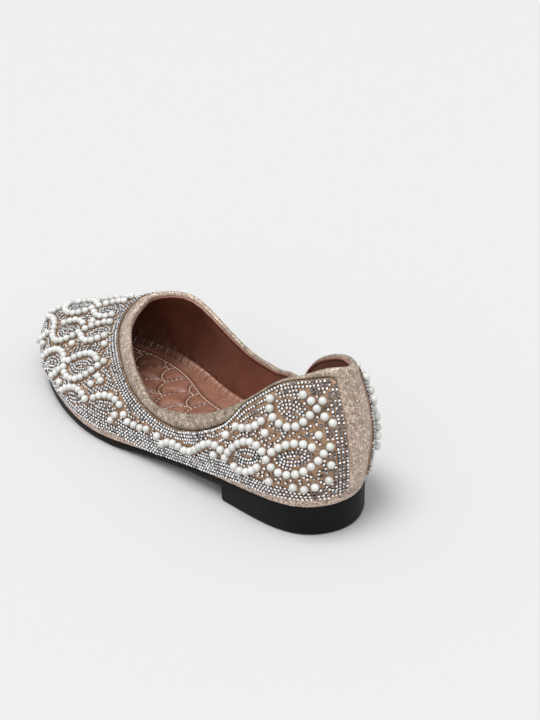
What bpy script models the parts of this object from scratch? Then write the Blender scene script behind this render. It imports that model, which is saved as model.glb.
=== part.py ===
"""Beaded ballet flat, left shoe, standing empty on its sole.

Metres, +Z up.  The toe points towards -Y, the heel towards +Y and the outer side towards +X.

Every piece is read from one last: a closed feather line, where upper and sole meet, a closed
top line round the collar, and a curved wall that climbs from one to the other.
"""

import math

import bmesh
import bpy
import numpy as np

MM = 0.001

# Driving dimensions, in millimetres.
LENGTH = 234.0  # feather line, toe to heel
BALL_WIDTH = 78.5  # feather line, across the ball
BACK_HEIGHT = 80.3  # top line above the floor, at the back of the heel

WALL = 1.9  # upper with its lining
STRIP_FOOT = 13.4  # bare strip down the back of the heel, where it meets the hem
STRIP_TOP = 21.0  # and where it meets the top band, both measured round the feather line
STRIP_FADE = 30.0  # how far from the strip the beading's columns still lean with its edge
PANEL = 1.2  # beaded panel, backing and glue
GAP = 0.3  # between pieces that touch on the real shoe
CLEAR = 0.4  # the same, where flat facets cut the corner of a curve

SOLE_LIP = 0.1  # how far the sole's edge stands out past the feather line
SOLE_SHOULDER = 0.6  # bevel round its top edge
SOLE_CHAMFER = 1.3  # and round its bottom edge
HEEL_BREAST = 59.5  # front face of the heel, along Y from the middle of the shoe
ARCH_RISE = 9.0  # height of the arch in front of the heel
BREAST_CORNER = 2.5  # inside round where the heel's front face meets the arch
ARCH_END = -32.5  # where the arch comes down to the floor, along Y
ARCH_TILT = 3.0  # degrees, higher on the inner side
SPRING_START = -62.0  # where the toe starts to lift off the floor, along Y
TOE_SPRING = 7.6  # lift of the sole's underside at the toe
INSOLE = 3.2  # padded sock on its board
FOOTBED_DISH = 0.8  # how far the bed sinks between its edges

# The sock's edge, from its top round to its underside: inset from its widest line, and height
# above the feather line.
INSOLE_EDGE = ((1.6, INSOLE), (0.3, INSOLE - 0.9), (0.0, 0.8), (0.3, 0.0))

MIDDLE_OUT = -1.15  # middle of the finished shoe's box, from the line of the last
MIDDLE_ALONG = 2.62

EASE = 0.38  # share of a wall's height over which it turns into the top line
UNDER_FLOOR = -6.0  # where the cutters start, well below the sole
HEEL_ARC = 52.0  # length of feather line that makes the round of the heel
TOE_ARC = 64.0  # and of the toe
END_COLUMNS = 14
SIDE_COLUMNS = 30
PANEL_ROWS = 7
BAND_ROWS = 2

# One row for each station round the shoe, from the back along the outer side to the toe and
# home along the inner side.  out and along are percent of BALL_WIDTH and LENGTH from the line
# of the last, up is percent of BACK_HEIGHT.  lean is how far the wall starts outwards from the
# vertical and crown how steep it is where it ends, in degrees; fullness is the share of the
# wall's height that keeps the first direction; hem and band are the bare strips under and over
# the beading, in millimetres.
STATIONS = """
station      feather_out feather_along feather_up  top_out top_along top_up  lean crown fullness hem band
back               0.6      50.6    19.8      0.6    48.5    100.4     11    68    0.42   3.4  4.4
heel_outer        30.7      46.9    19.2     18.6    41.9     97.0     13    72    0.42   3.4  4.8
seat_outer        40.4      34.2    17.1     33.8    31.8     72.7     12    82    0.42   2.6  6.6
waist_outer       41.4      13.2    10.7     41.8    14.0     45.6      8    90    0.42   0.9  8.8
mid_outer         47.6      -3.1     5.9     35.8    -0.9     51.1     10    74    0.42   1.2  8.6
joint_outer       48.5     -16.0     5.1     19.6    -9.7     55.7     14    46    0.42   2.2  8.0
toe_outer         31.7     -34.4     8.2      4.1   -15.9     55.8     16    28    0.34   2.4  8.0
round_outer       14.0     -43.8    11.2     -2.0   -17.9     55.9     14    22    0.29   2.4  8.0
toe_tip           -5.1     -49.3    13.7     -9.6   -19.7     57.3     13    19    0.27   2.4  8.0
round_inner      -26.8     -44.0    11.0    -17.6   -20.1     61.4     14    22    0.30   2.4  8.0
toe_inner        -42.0     -36.0     8.1    -24.5   -19.3     65.4     16    27    0.35   2.4  8.0
joint_inner      -51.0     -21.3     6.2    -38.1   -13.5     67.7     12    50    0.42   2.2  8.0
mid_inner        -39.4      -3.3     9.3    -40.3    -2.3     57.3      9    80    0.42   1.2  8.6
waist_inner      -29.2      12.5    14.3    -34.8    14.7     48.2      6    90    0.42   0.9  8.8
seat_inner       -33.6      32.9    17.9    -25.0    29.9     73.5     12    82    0.42   2.6  6.6
heel_inner       -27.4      43.6    19.9    -15.2    41.7     94.3     13    72    0.42   3.4  4.8
"""


def station_table():
    """The named columns of STATIONS, each scaled to millimetres where it is a share."""
    heading, *rows = [line.split() for line in STATIONS.strip().splitlines()]
    columns = {}
    for i, name in enumerate(heading[1:], start=1):
        columns[name] = np.array([float(row[i]) for row in rows])
    for name in columns:
        if name.endswith("_out"):
            columns[name] *= BALL_WIDTH / 100
        if name.endswith("_along"):
            columns[name] *= LENGTH / 100
        if name.endswith("_up"):
            columns[name] *= BACK_HEIGHT / 100
    for line in ("feather", "top"):
        columns[line + "_out"] -= MIDDLE_OUT
        columns[line + "_along"] -= MIDDLE_ALONG
    return columns


class ClosedSpline:
    """The smooth closed curve through one row of values at each knot."""

    def __init__(self, knots, values):
        self.knots = knots
        self.values = np.vstack([values, values[:1]])
        step = np.diff(knots)
        slope = np.diff(self.values, axis=0) / step[:, None]
        count = len(values)
        system = np.zeros((count, count))
        for i in range(count):
            system[i, i - 1] += step[i - 1]
            system[i, i] += 2 * (step[i - 1] + step[i])
            system[i, (i + 1) % count] += step[i]
        bend = np.linalg.solve(system, 6 * (slope - np.roll(slope, 1, axis=0)))
        self.bend = np.vstack([bend, bend[:1]])

    def __call__(self, place):
        place = place % self.knots[-1]
        i = min(np.searchsorted(self.knots, place, side="right"), len(self.knots) - 1) - 1
        step = self.knots[i + 1] - self.knots[i]
        after = (place - self.knots[i]) / step
        before = 1 - after
        return (
            before * self.values[i]
            + after * self.values[i + 1]
            + ((before**3 - before) * self.bend[i] + (after**3 - after) * self.bend[i + 1]) * step**2 / 6
        )


class Last:
    """The shoe's outer surface, read by distance round the feather line and height up the wall."""

    def __init__(self):
        table = station_table()
        self.names = list(table)
        rows = np.column_stack([table[name] for name in self.names])
        feather = rows[:, :3]
        chords = np.linalg.norm(np.roll(feather, -1, axis=0) - feather, axis=1)
        knots = np.concatenate([[0], np.cumsum(np.sqrt(chords))])
        self.spline = ClosedSpline(knots, rows)
        places = np.linspace(0, knots[-1], 1441)
        line = np.array([self.spline(place)[:3] for place in places[:-1]])
        steps = np.linalg.norm(np.roll(line, -1, axis=0) - line, axis=1)
        self.places = places
        self.lengths = np.concatenate([[0], np.cumsum(steps)])
        self.girth = self.lengths[-1]
        toe_place = places[np.argmin(line[:, 1])]
        self.toe = float(np.interp(toe_place, self.places, self.lengths))

    def row(self, around):
        """Every column of the station table at this distance round the feather line."""
        place = np.interp(around % self.girth, self.lengths, self.places)
        return dict(zip(self.names, self.spline(place)))

    def feather(self, around):
        row = self.row(around)
        return np.array([row["feather_out"], row["feather_along"], row["feather_up"]])

    def outward(self, around):
        """Level direction out of the shoe, square to the feather line."""
        ahead = self.feather(around + 0.5) - self.feather(around - 0.5)
        normal = np.array([ahead[1], -ahead[0], 0.0])
        if normal @ (self.feather(around) - self.feather(around + self.girth / 2)) < 0:
            normal = -normal
        return normal / np.linalg.norm(normal)

    def wall(self, around):
        """The four control points of the wall's curve, from the feather line to the top line."""
        row = self.row(around)
        foot = np.array([row["feather_out"], row["feather_along"], row["feather_up"]])
        head = np.array([row["top_out"], row["top_along"], row["top_up"]])
        out = self.outward(around)
        chord = np.linalg.norm(head - foot)
        across = (head - foot) * (1, 1, 0)
        reach = np.linalg.norm(across)
        share = min(1.0, (reach / 30) ** 2)
        inward = across / max(reach, 1e-6) * share - out * (1 - share)
        inward /= np.linalg.norm(inward)
        lean = math.radians(row["lean"])
        crown = math.radians(row["crown"])
        up = np.array([0.0, 0.0, 1.0])
        start = up * math.cos(lean) + out * math.sin(lean)
        finish = up * math.sin(crown) + inward * math.cos(crown)
        return np.array([foot, foot + start * chord * row["fullness"], head - finish * chord * EASE, head])

    def column(self, around, stand_off=0.0):
        """Points up the wall: the feather line, the rows of the beading and those of the band."""
        points = self.wall(around)
        shares = np.linspace(0, 1, 121)
        curve = bezier(points, shares)
        climbed = np.concatenate([[0], np.cumsum(np.linalg.norm(np.diff(curve, axis=0), axis=1))])
        hem = self.row(around)["hem"]
        edge = climbed[-1] - self.row(around)["band"]
        beaded = np.linspace(hem, edge, PANEL_ROWS + 1)
        banded = np.linspace(edge, climbed[-1], BAND_ROWS + 1)[1:]
        heights = [0.0, *beaded, *banded]
        at = np.interp(heights, climbed, shares)
        found = bezier(points, at)
        if not stand_off:
            return found
        near = [bezier(self.wall(around + step), at) for step in (-0.4, 0.4)]
        ahead = near[1] - near[0]
        climb = bezier(points, at + 0.01) - bezier(points, at - 0.01)
        normal = np.cross(climb, ahead)
        normal /= np.linalg.norm(normal, axis=1)[:, None]
        if normal[1] @ self.outward(around) < 0:
            normal = -normal
        return found + normal * stand_off


def bezier(points, shares):
    t = np.asarray(shares)[:, None]
    a, b, c, d = points
    return a * (1 - t) ** 3 + b * 3 * t * (1 - t) ** 2 + c * 3 * t**2 * (1 - t) + d * t**3


def ring_places(last):
    """Distances round the feather line: the heel's round, the outer side, the toe, the inner side."""
    corners = [
        -HEEL_ARC / 2,
        HEEL_ARC / 2,
        last.toe - TOE_ARC / 2,
        last.toe + TOE_ARC / 2,
        last.girth - HEEL_ARC / 2,
    ]
    counts = [END_COLUMNS, SIDE_COLUMNS, END_COLUMNS, SIDE_COLUMNS]
    places = []
    for start, end, count in zip(corners, corners[1:], counts):
        places += list(np.linspace(start, end, count, endpoint=False))
    return places


def patch(ring, dish):
    """A grid of points that fills the ring, END_COLUMNS wide and SIDE_COLUMNS long.

    Its edge is the ring itself, so its wall can share those points.  The middle sinks by dish.
    """
    ring = np.array(ring)
    end, side = END_COLUMNS, SIDE_COLUMNS
    heel = ring[: end + 1]
    outer = ring[end : end + side + 1]
    toe = ring[end + side : 2 * end + side + 1][::-1]
    inner = np.vstack([ring[2 * end + side :], ring[:1]])[::-1]
    grid = np.empty((side + 1, end + 1, 3))
    for i in range(side + 1):
        t = i / side
        for j in range(end + 1):
            s = j / end
            across = heel[j] * (1 - t) + toe[j] * t
            along = inner[i] * (1 - s) + outer[i] * s
            corners = (heel[0] * (1 - s) + heel[-1] * s) * (1 - t) + (toe[0] * (1 - s) + toe[-1] * s) * t
            grid[i, j] = across + along - corners
            grid[i, j, 2] -= dish * 4 * s * (1 - s) * min(1.0, 8 * t * (1 - t))
    return grid


def add_loop(mesh, points):
    return [mesh.verts.new(point * MM) for point in points]


def join_loops(mesh, low, high, closed=True):
    """Quads between two loops of the same length."""
    for i in range(len(low) if closed else len(low) - 1):
        j = (i + 1) % len(low)
        mesh.faces.new((low[i], low[j], high[j], high[i]))


def add_patch(mesh, grid, ring_verts):
    """Quads over a patch, using the wall's own vertices along its edge."""
    end, side = END_COLUMNS, SIDE_COLUMNS
    total = len(ring_verts)
    verts = {}
    for i in range(side + 1):
        for j in range(end + 1):
            if i == 0:
                verts[i, j] = ring_verts[j]
            elif j == end:
                verts[i, j] = ring_verts[end + i]
            elif i == side:
                verts[i, j] = ring_verts[2 * end + side - j]
            elif j == 0:
                verts[i, j] = ring_verts[(total - i) % total]
            else:
                verts[i, j] = mesh.verts.new(grid[i, j] * MM)
    for i in range(side):
        for j in range(end):
            mesh.faces.new((verts[i, j], verts[i, j + 1], verts[i + 1, j + 1], verts[i + 1, j]))


def make_object(name, mesh, collection, material=None):
    """The finished bmesh as an object with outward faces, shaded smooth between soft angles."""
    bmesh.ops.recalc_face_normals(mesh, faces=mesh.faces)
    data = bpy.data.meshes.new(name)
    mesh.to_mesh(data)
    mesh.free()
    data.shade_smooth()
    data.set_sharp_from_angle(angle=math.radians(40))
    made = bpy.data.objects.new(name, data)
    collection.objects.link(made)
    if material:
        data.materials.append(material)
    return made


def make_material(name, colour, roughness, metallic=0.0):
    material = bpy.data.materials.new(name)
    material.use_nodes = True
    shader = material.node_tree.nodes["Principled BSDF"]
    shader.inputs["Base Color"].default_value = (*colour, 1)
    shader.inputs["Roughness"].default_value = roughness
    shader.inputs["Metallic"].default_value = metallic
    return material


def make_collection(name):
    collection = bpy.data.collections.new(name)
    bpy.context.scene.collection.children.link(collection)
    return collection


def add_wall_thickness(made, thickness, offset):
    """Solidify: offset -1 grows the wall inwards from the surface, 1 outwards."""
    wall = made.modifiers.new("Wall", "SOLIDIFY")
    wall.thickness = thickness * MM
    wall.offset = offset
    wall.use_even_offset = True
    wall.use_rim = True


def make_upper(last, places, collection):
    """One hollow shell round the foot, open at the collar and at the sole."""
    columns = [last.column(place) for place in places]
    mesh = bmesh.new()
    loops = [add_loop(mesh, [column[row] for column in columns]) for row in range(len(columns[0]))]
    for low, high in zip(loops, loops[1:]):
        join_loops(mesh, low, high)
    fabric = make_material("champagne_fabric", (0.52, 0.42, 0.33), 0.5, 0.4)
    upper = make_object("upper", mesh, collection, fabric)
    face_away_from_middle(upper)
    add_wall_thickness(upper, WALL, -1)
    return upper


def lean_with_strip(last, place, climb):
    """Moves a column away from the back strip as it climbs, because the strip widens upwards."""
    side = 1 if place < last.girth / 2 else -1
    away = min(place, last.girth - place) - STRIP_FOOT / 2
    widening = (STRIP_TOP - STRIP_FOOT) / 2 * climb
    return place + side * widening * max(0.0, 1 - away / STRIP_FADE)


def make_beaded_overlay(last, places, collection):
    """The panel over the vamp and both quarters, standing proud between hem and top band."""
    half = STRIP_FOOT / 2
    around = sorted(place % last.girth for place in places)
    between = [place for place in around if half + 1.5 < place < last.girth - half - 1.5]
    across = [half, *between, last.girth - half]
    mesh = bmesh.new()
    strips = []
    for row in range(PANEL_ROWS + 1):
        climb = row / PANEL_ROWS
        leaning = [lean_with_strip(last, place, climb) for place in across]
        strips.append(add_loop(mesh, [last.column(place, CLEAR)[row + 1] for place in leaning]))
    for low, high in zip(strips, strips[1:]):
        join_loops(mesh, low, high, closed=False)
    beading = make_material("beading_backing", (0.62, 0.52, 0.44), 0.4, 0.2)
    overlay = make_object("beaded_overlay", mesh, collection, beading)
    face_away_from_middle(overlay)
    add_wall_thickness(overlay, PANEL, 1)
    return overlay


def face_away_from_middle(made):
    """Turns an open shell's faces outwards, so that its thickness grows the right way."""
    data = made.data
    middle = sum((vert.co for vert in data.vertices), data.vertices[0].co * 0) / len(data.vertices)
    facing = sum(face.area * face.normal.dot(face.center - middle) for face in data.polygons)
    if facing < 0:
        data.flip_normals()


def edge_ring(last, places, stand_out, height):
    """The feather line pushed outwards, at a height given as a number or as a function of its own."""
    ring = []
    for place in places:
        point = last.feather(place) + last.outward(place) * stand_out
        point[2] = height(point[2]) if callable(height) else height
        ring.append(point)
    return ring


def make_slab(name, rings, collection, material, top_dish, bottom_dish):
    """A closed slab: a patch on top, walls down through the rings and a patch below."""
    mesh = bmesh.new()
    loops = [add_loop(mesh, ring) for ring in rings]
    add_patch(mesh, patch(rings[0], top_dish), loops[0])
    for high, low in zip(loops, loops[1:]):
        join_loops(mesh, low, high)
    add_patch(mesh, patch(rings[-1], bottom_dish), loops[-1])
    return make_object(name, mesh, collection, material)


def make_outsole(last, places, collection, cutters):
    """Moulded unit sole: a block of the sole's outline, hollowed under the arch and the toe."""
    rings = [
        edge_ring(last, places, SOLE_LIP - SOLE_SHOULDER, lambda up: up - GAP),
        edge_ring(last, places, SOLE_LIP, lambda up: up - GAP - SOLE_SHOULDER),
        edge_ring(last, places, SOLE_LIP, SOLE_CHAMFER),
        edge_ring(last, places, SOLE_LIP - SOLE_CHAMFER, 0.0),
    ]
    rubber = make_material("black_rubber", (0.012, 0.012, 0.013), 0.55)
    sole = make_slab("outsole", rings, collection, rubber, FOOTBED_DISH, 0.0)
    cut_away(sole, make_cutter("arch_cutter", arch_profile(), ARCH_TILT, cutters))
    cut_away(sole, make_cutter("toe_cutter", toe_profile(), 0.0, cutters))
    return sole


def arch_profile():
    """Side view of the space in front of the heel: a steep breast, then a long fall to the floor."""
    corner = BREAST_CORNER
    breast = [(HEEL_BREAST, UNDER_FLOOR), (HEEL_BREAST, ARCH_RISE - corner)]
    for step in range(1, 4):
        turn = math.radians(30 * step)
        along = HEEL_BREAST - corner + corner * math.cos(turn)
        breast.append((along, ARCH_RISE - corner + corner * math.sin(turn)))
    fall = []
    for step in range(1, 13):
        share = step / 12
        along = HEEL_BREAST - corner + (ARCH_END - HEEL_BREAST + corner) * share
        fall.append((along, ARCH_RISE * (1 - share) * (1 + 0.15 * share)))
    return breast + fall + [(ARCH_END + (ARCH_END - HEEL_BREAST) * 0.5, UNDER_FLOOR)]


def toe_profile():
    """Side view of the space under the toe spring."""
    toe_end = -LENGTH / 2 - 12
    rise = []
    for step in range(13):
        share = step / 12
        along = SPRING_START + (toe_end - SPRING_START) * share
        full = (SPRING_START - along) / (SPRING_START + LENGTH / 2)
        rise.append((along, TOE_SPRING * full**1.35 - 0.02))
    return [(SPRING_START, UNDER_FLOOR)] + rise + [(toe_end, UNDER_FLOOR)]


def make_cutter(name, profile, tilt, collection):
    """A side view drawn on the shoe's middle plane and carried past both sides."""
    half = BALL_WIDTH
    mesh = bmesh.new()
    outline = [mesh.verts.new((-half * MM, along * MM, up * MM)) for along, up in profile]
    face = mesh.faces.new(outline)
    grown = bmesh.ops.extrude_face_region(mesh, geom=[face])["geom"]
    moved = [item for item in grown if isinstance(item, bmesh.types.BMVert)]
    bmesh.ops.translate(mesh, verts=moved, vec=(2 * half * MM, 0, 0))
    cutter = make_object(name, mesh, collection)
    cutter.rotation_euler.y = math.radians(tilt)
    cutter.hide_render = True
    cutter.display_type = "WIRE"
    return cutter


def cut_away(made, cutter):
    cut = made.modifiers.new(cutter.name, "BOOLEAN")
    cut.operation = "DIFFERENCE"
    cut.object = cutter
    cut.solver = "EXACT"


def make_insole(last, places, collection):
    """The padded sock, lying on the sole inside the upper's wall."""
    rings = []
    for inset, rise in INSOLE_EDGE:
        rings.append(edge_ring(last, places, -WALL - CLEAR - inset, lambda up, rise=rise: up + rise))
    leather = make_material("brown_leather", (0.16, 0.065, 0.05), 0.45)
    return make_slab("insole", rings, collection, leather, FOOTBED_DISH, FOOTBED_DISH)


def main():
    for old in list(bpy.data.objects):
        bpy.data.objects.remove(old, do_unlink=True)
    bpy.context.scene.unit_settings.system = "METRIC"
    shoe = make_collection("ballet_flat")
    cutters = make_collection("cutters")
    last = Last()
    places = ring_places(last)
    make_upper(last, places, shoe)
    make_beaded_overlay(last, places, shoe)
    make_outsole(last, places, shoe, cutters)
    make_insole(last, places, shoe)


main()
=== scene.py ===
# %% [markdown]
# # A beaded ballet flat
#
# The shoe is a left one: champagne glitter fabric round the collar and down the back of the
# heel, a cloth panel sewn full of pearls and cut stones over the vamp and both quarters, a
# quilted sock on a rosy brown lining, and a flat black sole with a low heel.  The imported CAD
# model fixes every dimension.  It is loaded first, and each finished piece is then laid on it.

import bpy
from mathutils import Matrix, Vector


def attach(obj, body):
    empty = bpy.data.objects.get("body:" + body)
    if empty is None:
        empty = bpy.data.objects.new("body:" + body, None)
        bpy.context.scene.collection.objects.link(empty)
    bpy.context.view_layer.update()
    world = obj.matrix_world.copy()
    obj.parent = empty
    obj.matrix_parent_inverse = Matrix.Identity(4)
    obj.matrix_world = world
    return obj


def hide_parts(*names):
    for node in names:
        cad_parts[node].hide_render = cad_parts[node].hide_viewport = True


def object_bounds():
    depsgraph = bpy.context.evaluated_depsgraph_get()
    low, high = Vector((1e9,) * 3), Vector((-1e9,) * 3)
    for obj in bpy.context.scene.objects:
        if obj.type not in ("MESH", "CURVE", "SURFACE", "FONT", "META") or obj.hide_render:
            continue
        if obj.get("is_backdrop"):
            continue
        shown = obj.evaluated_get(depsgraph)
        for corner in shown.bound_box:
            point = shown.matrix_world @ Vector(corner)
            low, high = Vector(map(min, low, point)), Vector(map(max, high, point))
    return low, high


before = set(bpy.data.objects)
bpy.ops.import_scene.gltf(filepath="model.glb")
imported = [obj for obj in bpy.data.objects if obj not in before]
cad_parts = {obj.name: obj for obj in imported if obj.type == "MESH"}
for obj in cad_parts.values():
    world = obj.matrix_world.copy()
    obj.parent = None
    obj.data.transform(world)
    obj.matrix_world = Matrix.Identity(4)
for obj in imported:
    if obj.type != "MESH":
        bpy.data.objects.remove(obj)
cad_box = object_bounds()
print("CAD nodes:", sorted(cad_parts))

# %% [markdown]
# Blender works in metres.  Shoes are drawn in millimetres, so lengths below are in millimetres,
# and are multiplied by MM where they are handed to Blender.

# %% Modules and units
import math

import bmesh
import bpy
import numpy as np
from mathutils import Matrix, Vector
from mathutils.kdtree import KDTree

MM = 0.001

# %% [markdown]
# ## The last
#
# A shoe is drawn on a last.  Everything that curves round this one is read from two closed
# lines, the feather line where upper and sole meet and the top line round the collar, and from
# a wall that climbs between them.  The CAD model was built from the same numbers.  A shell of a
# few thousand facets is too coarse to sew beads on, so the last is drawn again here, finely.

# %% The last's own numbers
LENGTH = 234.0  # feather line, toe to heel
BALL_WIDTH = 78.5  # feather line, across the ball
BACK_HEIGHT = 80.3  # top line above the floor, at the back of the heel
MIDDLE_OUT = -1.15  # middle of the shoe's box, from the line of the last
MIDDLE_ALONG = 2.62
EASE = 0.38  # share of a wall's height over which it turns into the top line

# out and along are percent of BALL_WIDTH and LENGTH, up is percent of BACK_HEIGHT, lean and
# crown are degrees, fullness is a share; hem and band are the bare strips in millimetres.
STATIONS = """
station      feather_out feather_along feather_up  top_out top_along top_up  lean crown fullness hem band
back               0.6      50.6    19.8      0.6    48.5    100.4     11    68    0.42   3.4  4.4
heel_outer        30.7      46.9    19.2     18.6    41.9     97.0     13    72    0.42   3.4  4.8
seat_outer        40.4      34.2    17.1     33.8    31.8     72.7     12    82    0.42   2.6  6.6
waist_outer       41.4      13.2    10.7     41.8    14.0     45.6      8    90    0.42   0.9  8.8
mid_outer         47.6      -3.1     5.9     35.8    -0.9     51.1     10    74    0.42   1.2  8.6
joint_outer       48.5     -16.0     5.1     19.6    -9.7     55.7     14    46    0.42   2.2  8.0
toe_outer         31.7     -34.4     8.2      4.1   -15.9     55.8     16    28    0.34   2.4  8.0
round_outer       14.0     -43.8    11.2     -2.0   -17.9     55.9     14    22    0.29   2.4  8.0
toe_tip           -5.1     -49.3    13.7     -9.6   -19.7     57.3     13    19    0.27   2.4  8.0
round_inner      -26.8     -44.0    11.0    -17.6   -20.1     61.4     14    22    0.30   2.4  8.0
toe_inner        -42.0     -36.0     8.1    -24.5   -19.3     65.4     16    27    0.35   2.4  8.0
joint_inner      -51.0     -21.3     6.2    -38.1   -13.5     67.7     12    50    0.42   2.2  8.0
mid_inner        -39.4      -3.3     9.3    -40.3    -2.3     57.3      9    80    0.42   1.2  8.6
waist_inner      -29.2      12.5    14.3    -34.8    14.7     48.2      6    90    0.42   0.9  8.8
seat_inner       -33.6      32.9    17.9    -25.0    29.9     73.5     12    82    0.42   2.6  6.6
heel_inner       -27.4      43.6    19.9    -15.2    41.7     94.3     13    72    0.42   3.4  4.8
"""


def station_table():
    """The stations' columns, in millimetres and measured from the middle of the shoe's box."""
    heading, *rows = [line.split() for line in STATIONS.strip().splitlines()]
    columns = {}
    for i, name in enumerate(heading[1:], start=1):
        columns[name] = np.array([float(row[i]) for row in rows])
        for ending, whole in (("_out", BALL_WIDTH), ("_along", LENGTH), ("_up", BACK_HEIGHT)):
            if name.endswith(ending):
                columns[name] *= whole / 100
    for line in ("feather", "top"):
        columns[line + "_out"] -= MIDDLE_OUT
        columns[line + "_along"] -= MIDDLE_ALONG
    return columns


TABLE = station_table()
print("stations:", len(TABLE["hem"]), "columns:", list(TABLE))

# %% [markdown]
# A smooth closed curve goes through the stations.  It is the same curve as a draughtsman's
# bent spline: its slope and its bend both run on through every knot.


# %% The smooth line through the stations
class ClosedSpline:
    """The smooth closed curve through one row of values at each knot."""

    def __init__(self, knots, values):
        self.knots = knots
        self.values = np.vstack([values, values[:1]])
        step = np.diff(knots)
        slope = np.diff(self.values, axis=0) / step[:, None]
        count = len(values)
        system = np.zeros((count, count))
        for i in range(count):
            system[i, i - 1] += step[i - 1]
            system[i, i] += 2 * (step[i - 1] + step[i])
            system[i, (i + 1) % count] += step[i]
        bend = np.linalg.solve(system, 6 * (slope - np.roll(slope, 1, axis=0)))
        self.bend = np.vstack([bend, bend[:1]])

    def __call__(self, place):
        place = np.asarray(place, float) % self.knots[-1]
        i = np.clip(np.searchsorted(self.knots, place, side="right") - 1, 0, len(self.knots) - 2)
        step = (self.knots[i + 1] - self.knots[i])[:, None]
        after = (place - self.knots[i])[:, None] / step
        before = 1 - after
        bow = (before**3 - before) * self.bend[i] + (after**3 - after) * self.bend[i + 1]
        return before * self.values[i] + after * self.values[i + 1] + bow * step**2 / 6


def unit(vectors):
    """The same directions, each of length one."""
    return vectors / np.linalg.norm(vectors, axis=-1, keepdims=True)


# %% [markdown]
# The chart of the last is a fine net of points and of outward directions.  A place on the shoe
# is then three numbers: how far round the feather line, how far up the wall along its curve,
# and how far out from the surface.  Round starts at the back and runs along the outer side.


# %% The chart of the last
class Last:
    """The shoe's outer surface, charted once and then read between the chart's points."""

    COLUMNS = 1064
    ROWS = 120
    LINE_SAMPLES = 1441  # along the smooth line, before it is divided evenly into columns
    WALL_SAMPLES = 161  # up each wall's curve, before it is divided evenly into rows
    SHORT_REACH = 30  # a top line nearer than this pulls its wall less across the shoe

    def __init__(self, table):
        names = list(table)
        rows = np.column_stack([table[name] for name in names])
        chords = np.linalg.norm(np.roll(rows[:, :3], -1, axis=0) - rows[:, :3], axis=1)
        spline = ClosedSpline(np.concatenate([[0], np.cumsum(np.sqrt(chords))]), rows)
        places = np.linspace(0, spline.knots[-1], self.LINE_SAMPLES)
        line = spline(places[:-1])[:, :3]
        steps = np.linalg.norm(np.roll(line, -1, axis=0) - line, axis=1)
        lengths = np.concatenate([[0], np.cumsum(steps)])
        self.girth = lengths[-1]
        self.toe = float(np.interp(places[np.argmin(line[:, 1])], places, lengths))
        around = np.arange(self.COLUMNS) * self.girth / self.COLUMNS
        values = spline(np.interp(around, lengths, places))
        self.rows = dict(zip(names, values.T))
        self.foot = values[:, :3]
        ahead = np.roll(self.foot, -1, axis=0) - np.roll(self.foot, 1, axis=0)
        self.outward = unit(np.column_stack([ahead[:, 1], -ahead[:, 0], np.zeros(len(ahead))]))
        middle = self.foot.mean(axis=0)
        if np.sum(self.outward * (self.foot - middle)) < 0:
            self.outward = -self.outward
        self.draw_walls()

    def draw_walls(self):
        """Each wall is one Bezier curve, from the feather line to the top line."""
        row = self.rows
        head = np.column_stack([row["top_out"], row["top_along"], row["top_up"]])
        chord = np.linalg.norm(head - self.foot, axis=1)[:, None]
        across = (head - self.foot) * (1, 1, 0)
        reach = np.linalg.norm(across, axis=1)[:, None]
        share = np.minimum(1.0, (reach / self.SHORT_REACH) ** 2)
        inward = unit(across / np.maximum(reach, 1e-6) * share - self.outward * (1 - share))
        lean, crown = np.radians(row["lean"])[:, None], np.radians(row["crown"])[:, None]
        rise = np.array([0.0, 0.0, 1.0])
        start = rise * np.cos(lean) + self.outward * np.sin(lean)
        finish = rise * np.sin(crown) + inward * np.cos(crown)
        a, d = self.foot, head
        b, c = a + start * chord * row["fullness"][:, None], d - finish * chord * EASE
        t = np.linspace(0, 1, self.WALL_SAMPLES)[:, None, None]
        curve = a * (1 - t) ** 3 + b * 3 * t * (1 - t) ** 2 + c * 3 * t**2 * (1 - t) + d * t**3
        climbed = np.cumsum(np.linalg.norm(np.diff(curve, axis=0), axis=2), axis=0)
        climbed = np.vstack([np.zeros((1, self.COLUMNS)), climbed])
        self.height = climbed[-1]
        self.net = np.empty((self.COLUMNS, self.ROWS + 1, 3))
        for i in range(self.COLUMNS):
            even = np.linspace(0, self.height[i], self.ROWS + 1)
            for axis in range(3):
                self.net[i, :, axis] = np.interp(even, climbed[:, i], curve[:, i, axis])
        self.climb = unit(np.gradient(self.net, axis=1))
        ahead = np.roll(self.net, -1, axis=0) - np.roll(self.net, 1, axis=0)
        self.normal = unit(np.cross(self.climb, ahead))
        if np.sum(self.normal[:, 0] * self.outward) < 0:
            self.normal = -self.normal

    def read(self, name, around):
        """One of the station columns, or the wall's height, at these distances round."""
        column = self.height if name == "height" else self.rows[name]
        place = np.asarray(around) % self.girth / self.girth * self.COLUMNS
        return np.interp(place, np.arange(self.COLUMNS + 1), np.append(column, column[0]))

    def blend(self, net, around, up):
        """Reads one of the chart's nets between its points."""
        place = np.asarray(around, float) % self.girth / self.girth * self.COLUMNS
        level = np.clip(up / self.read("height", around), 0, 1) * self.ROWS
        i = np.floor(place).astype(int) % self.COLUMNS
        j = np.minimum(np.floor(level).astype(int), self.ROWS - 1)
        s, t = (place - np.floor(place))[..., None], (level - j)[..., None]
        k = (i + 1) % self.COLUMNS
        low = net[i, j] * (1 - s) + net[k, j] * s
        high = net[i, j + 1] * (1 - s) + net[k, j + 1] * s
        return low * (1 - t) + high * t

    def place(self, around, up, out=0.0):
        """Where that is, in millimetres.  Beyond either end of the wall it runs straight on."""
        around, up, out = np.broadcast_arrays(np.asarray(around, float), up, out)
        beyond = up - np.clip(up, 0, self.read("height", around))
        spot = self.blend(self.net, around, up)
        spot = spot + self.facing(around, up) * out[..., None]
        return spot + unit(self.blend(self.climb, around, up)) * beyond[..., None]

    def facing(self, around, up):
        """The outward direction of the surface there."""
        return unit(self.blend(self.normal, around, up))


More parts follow.
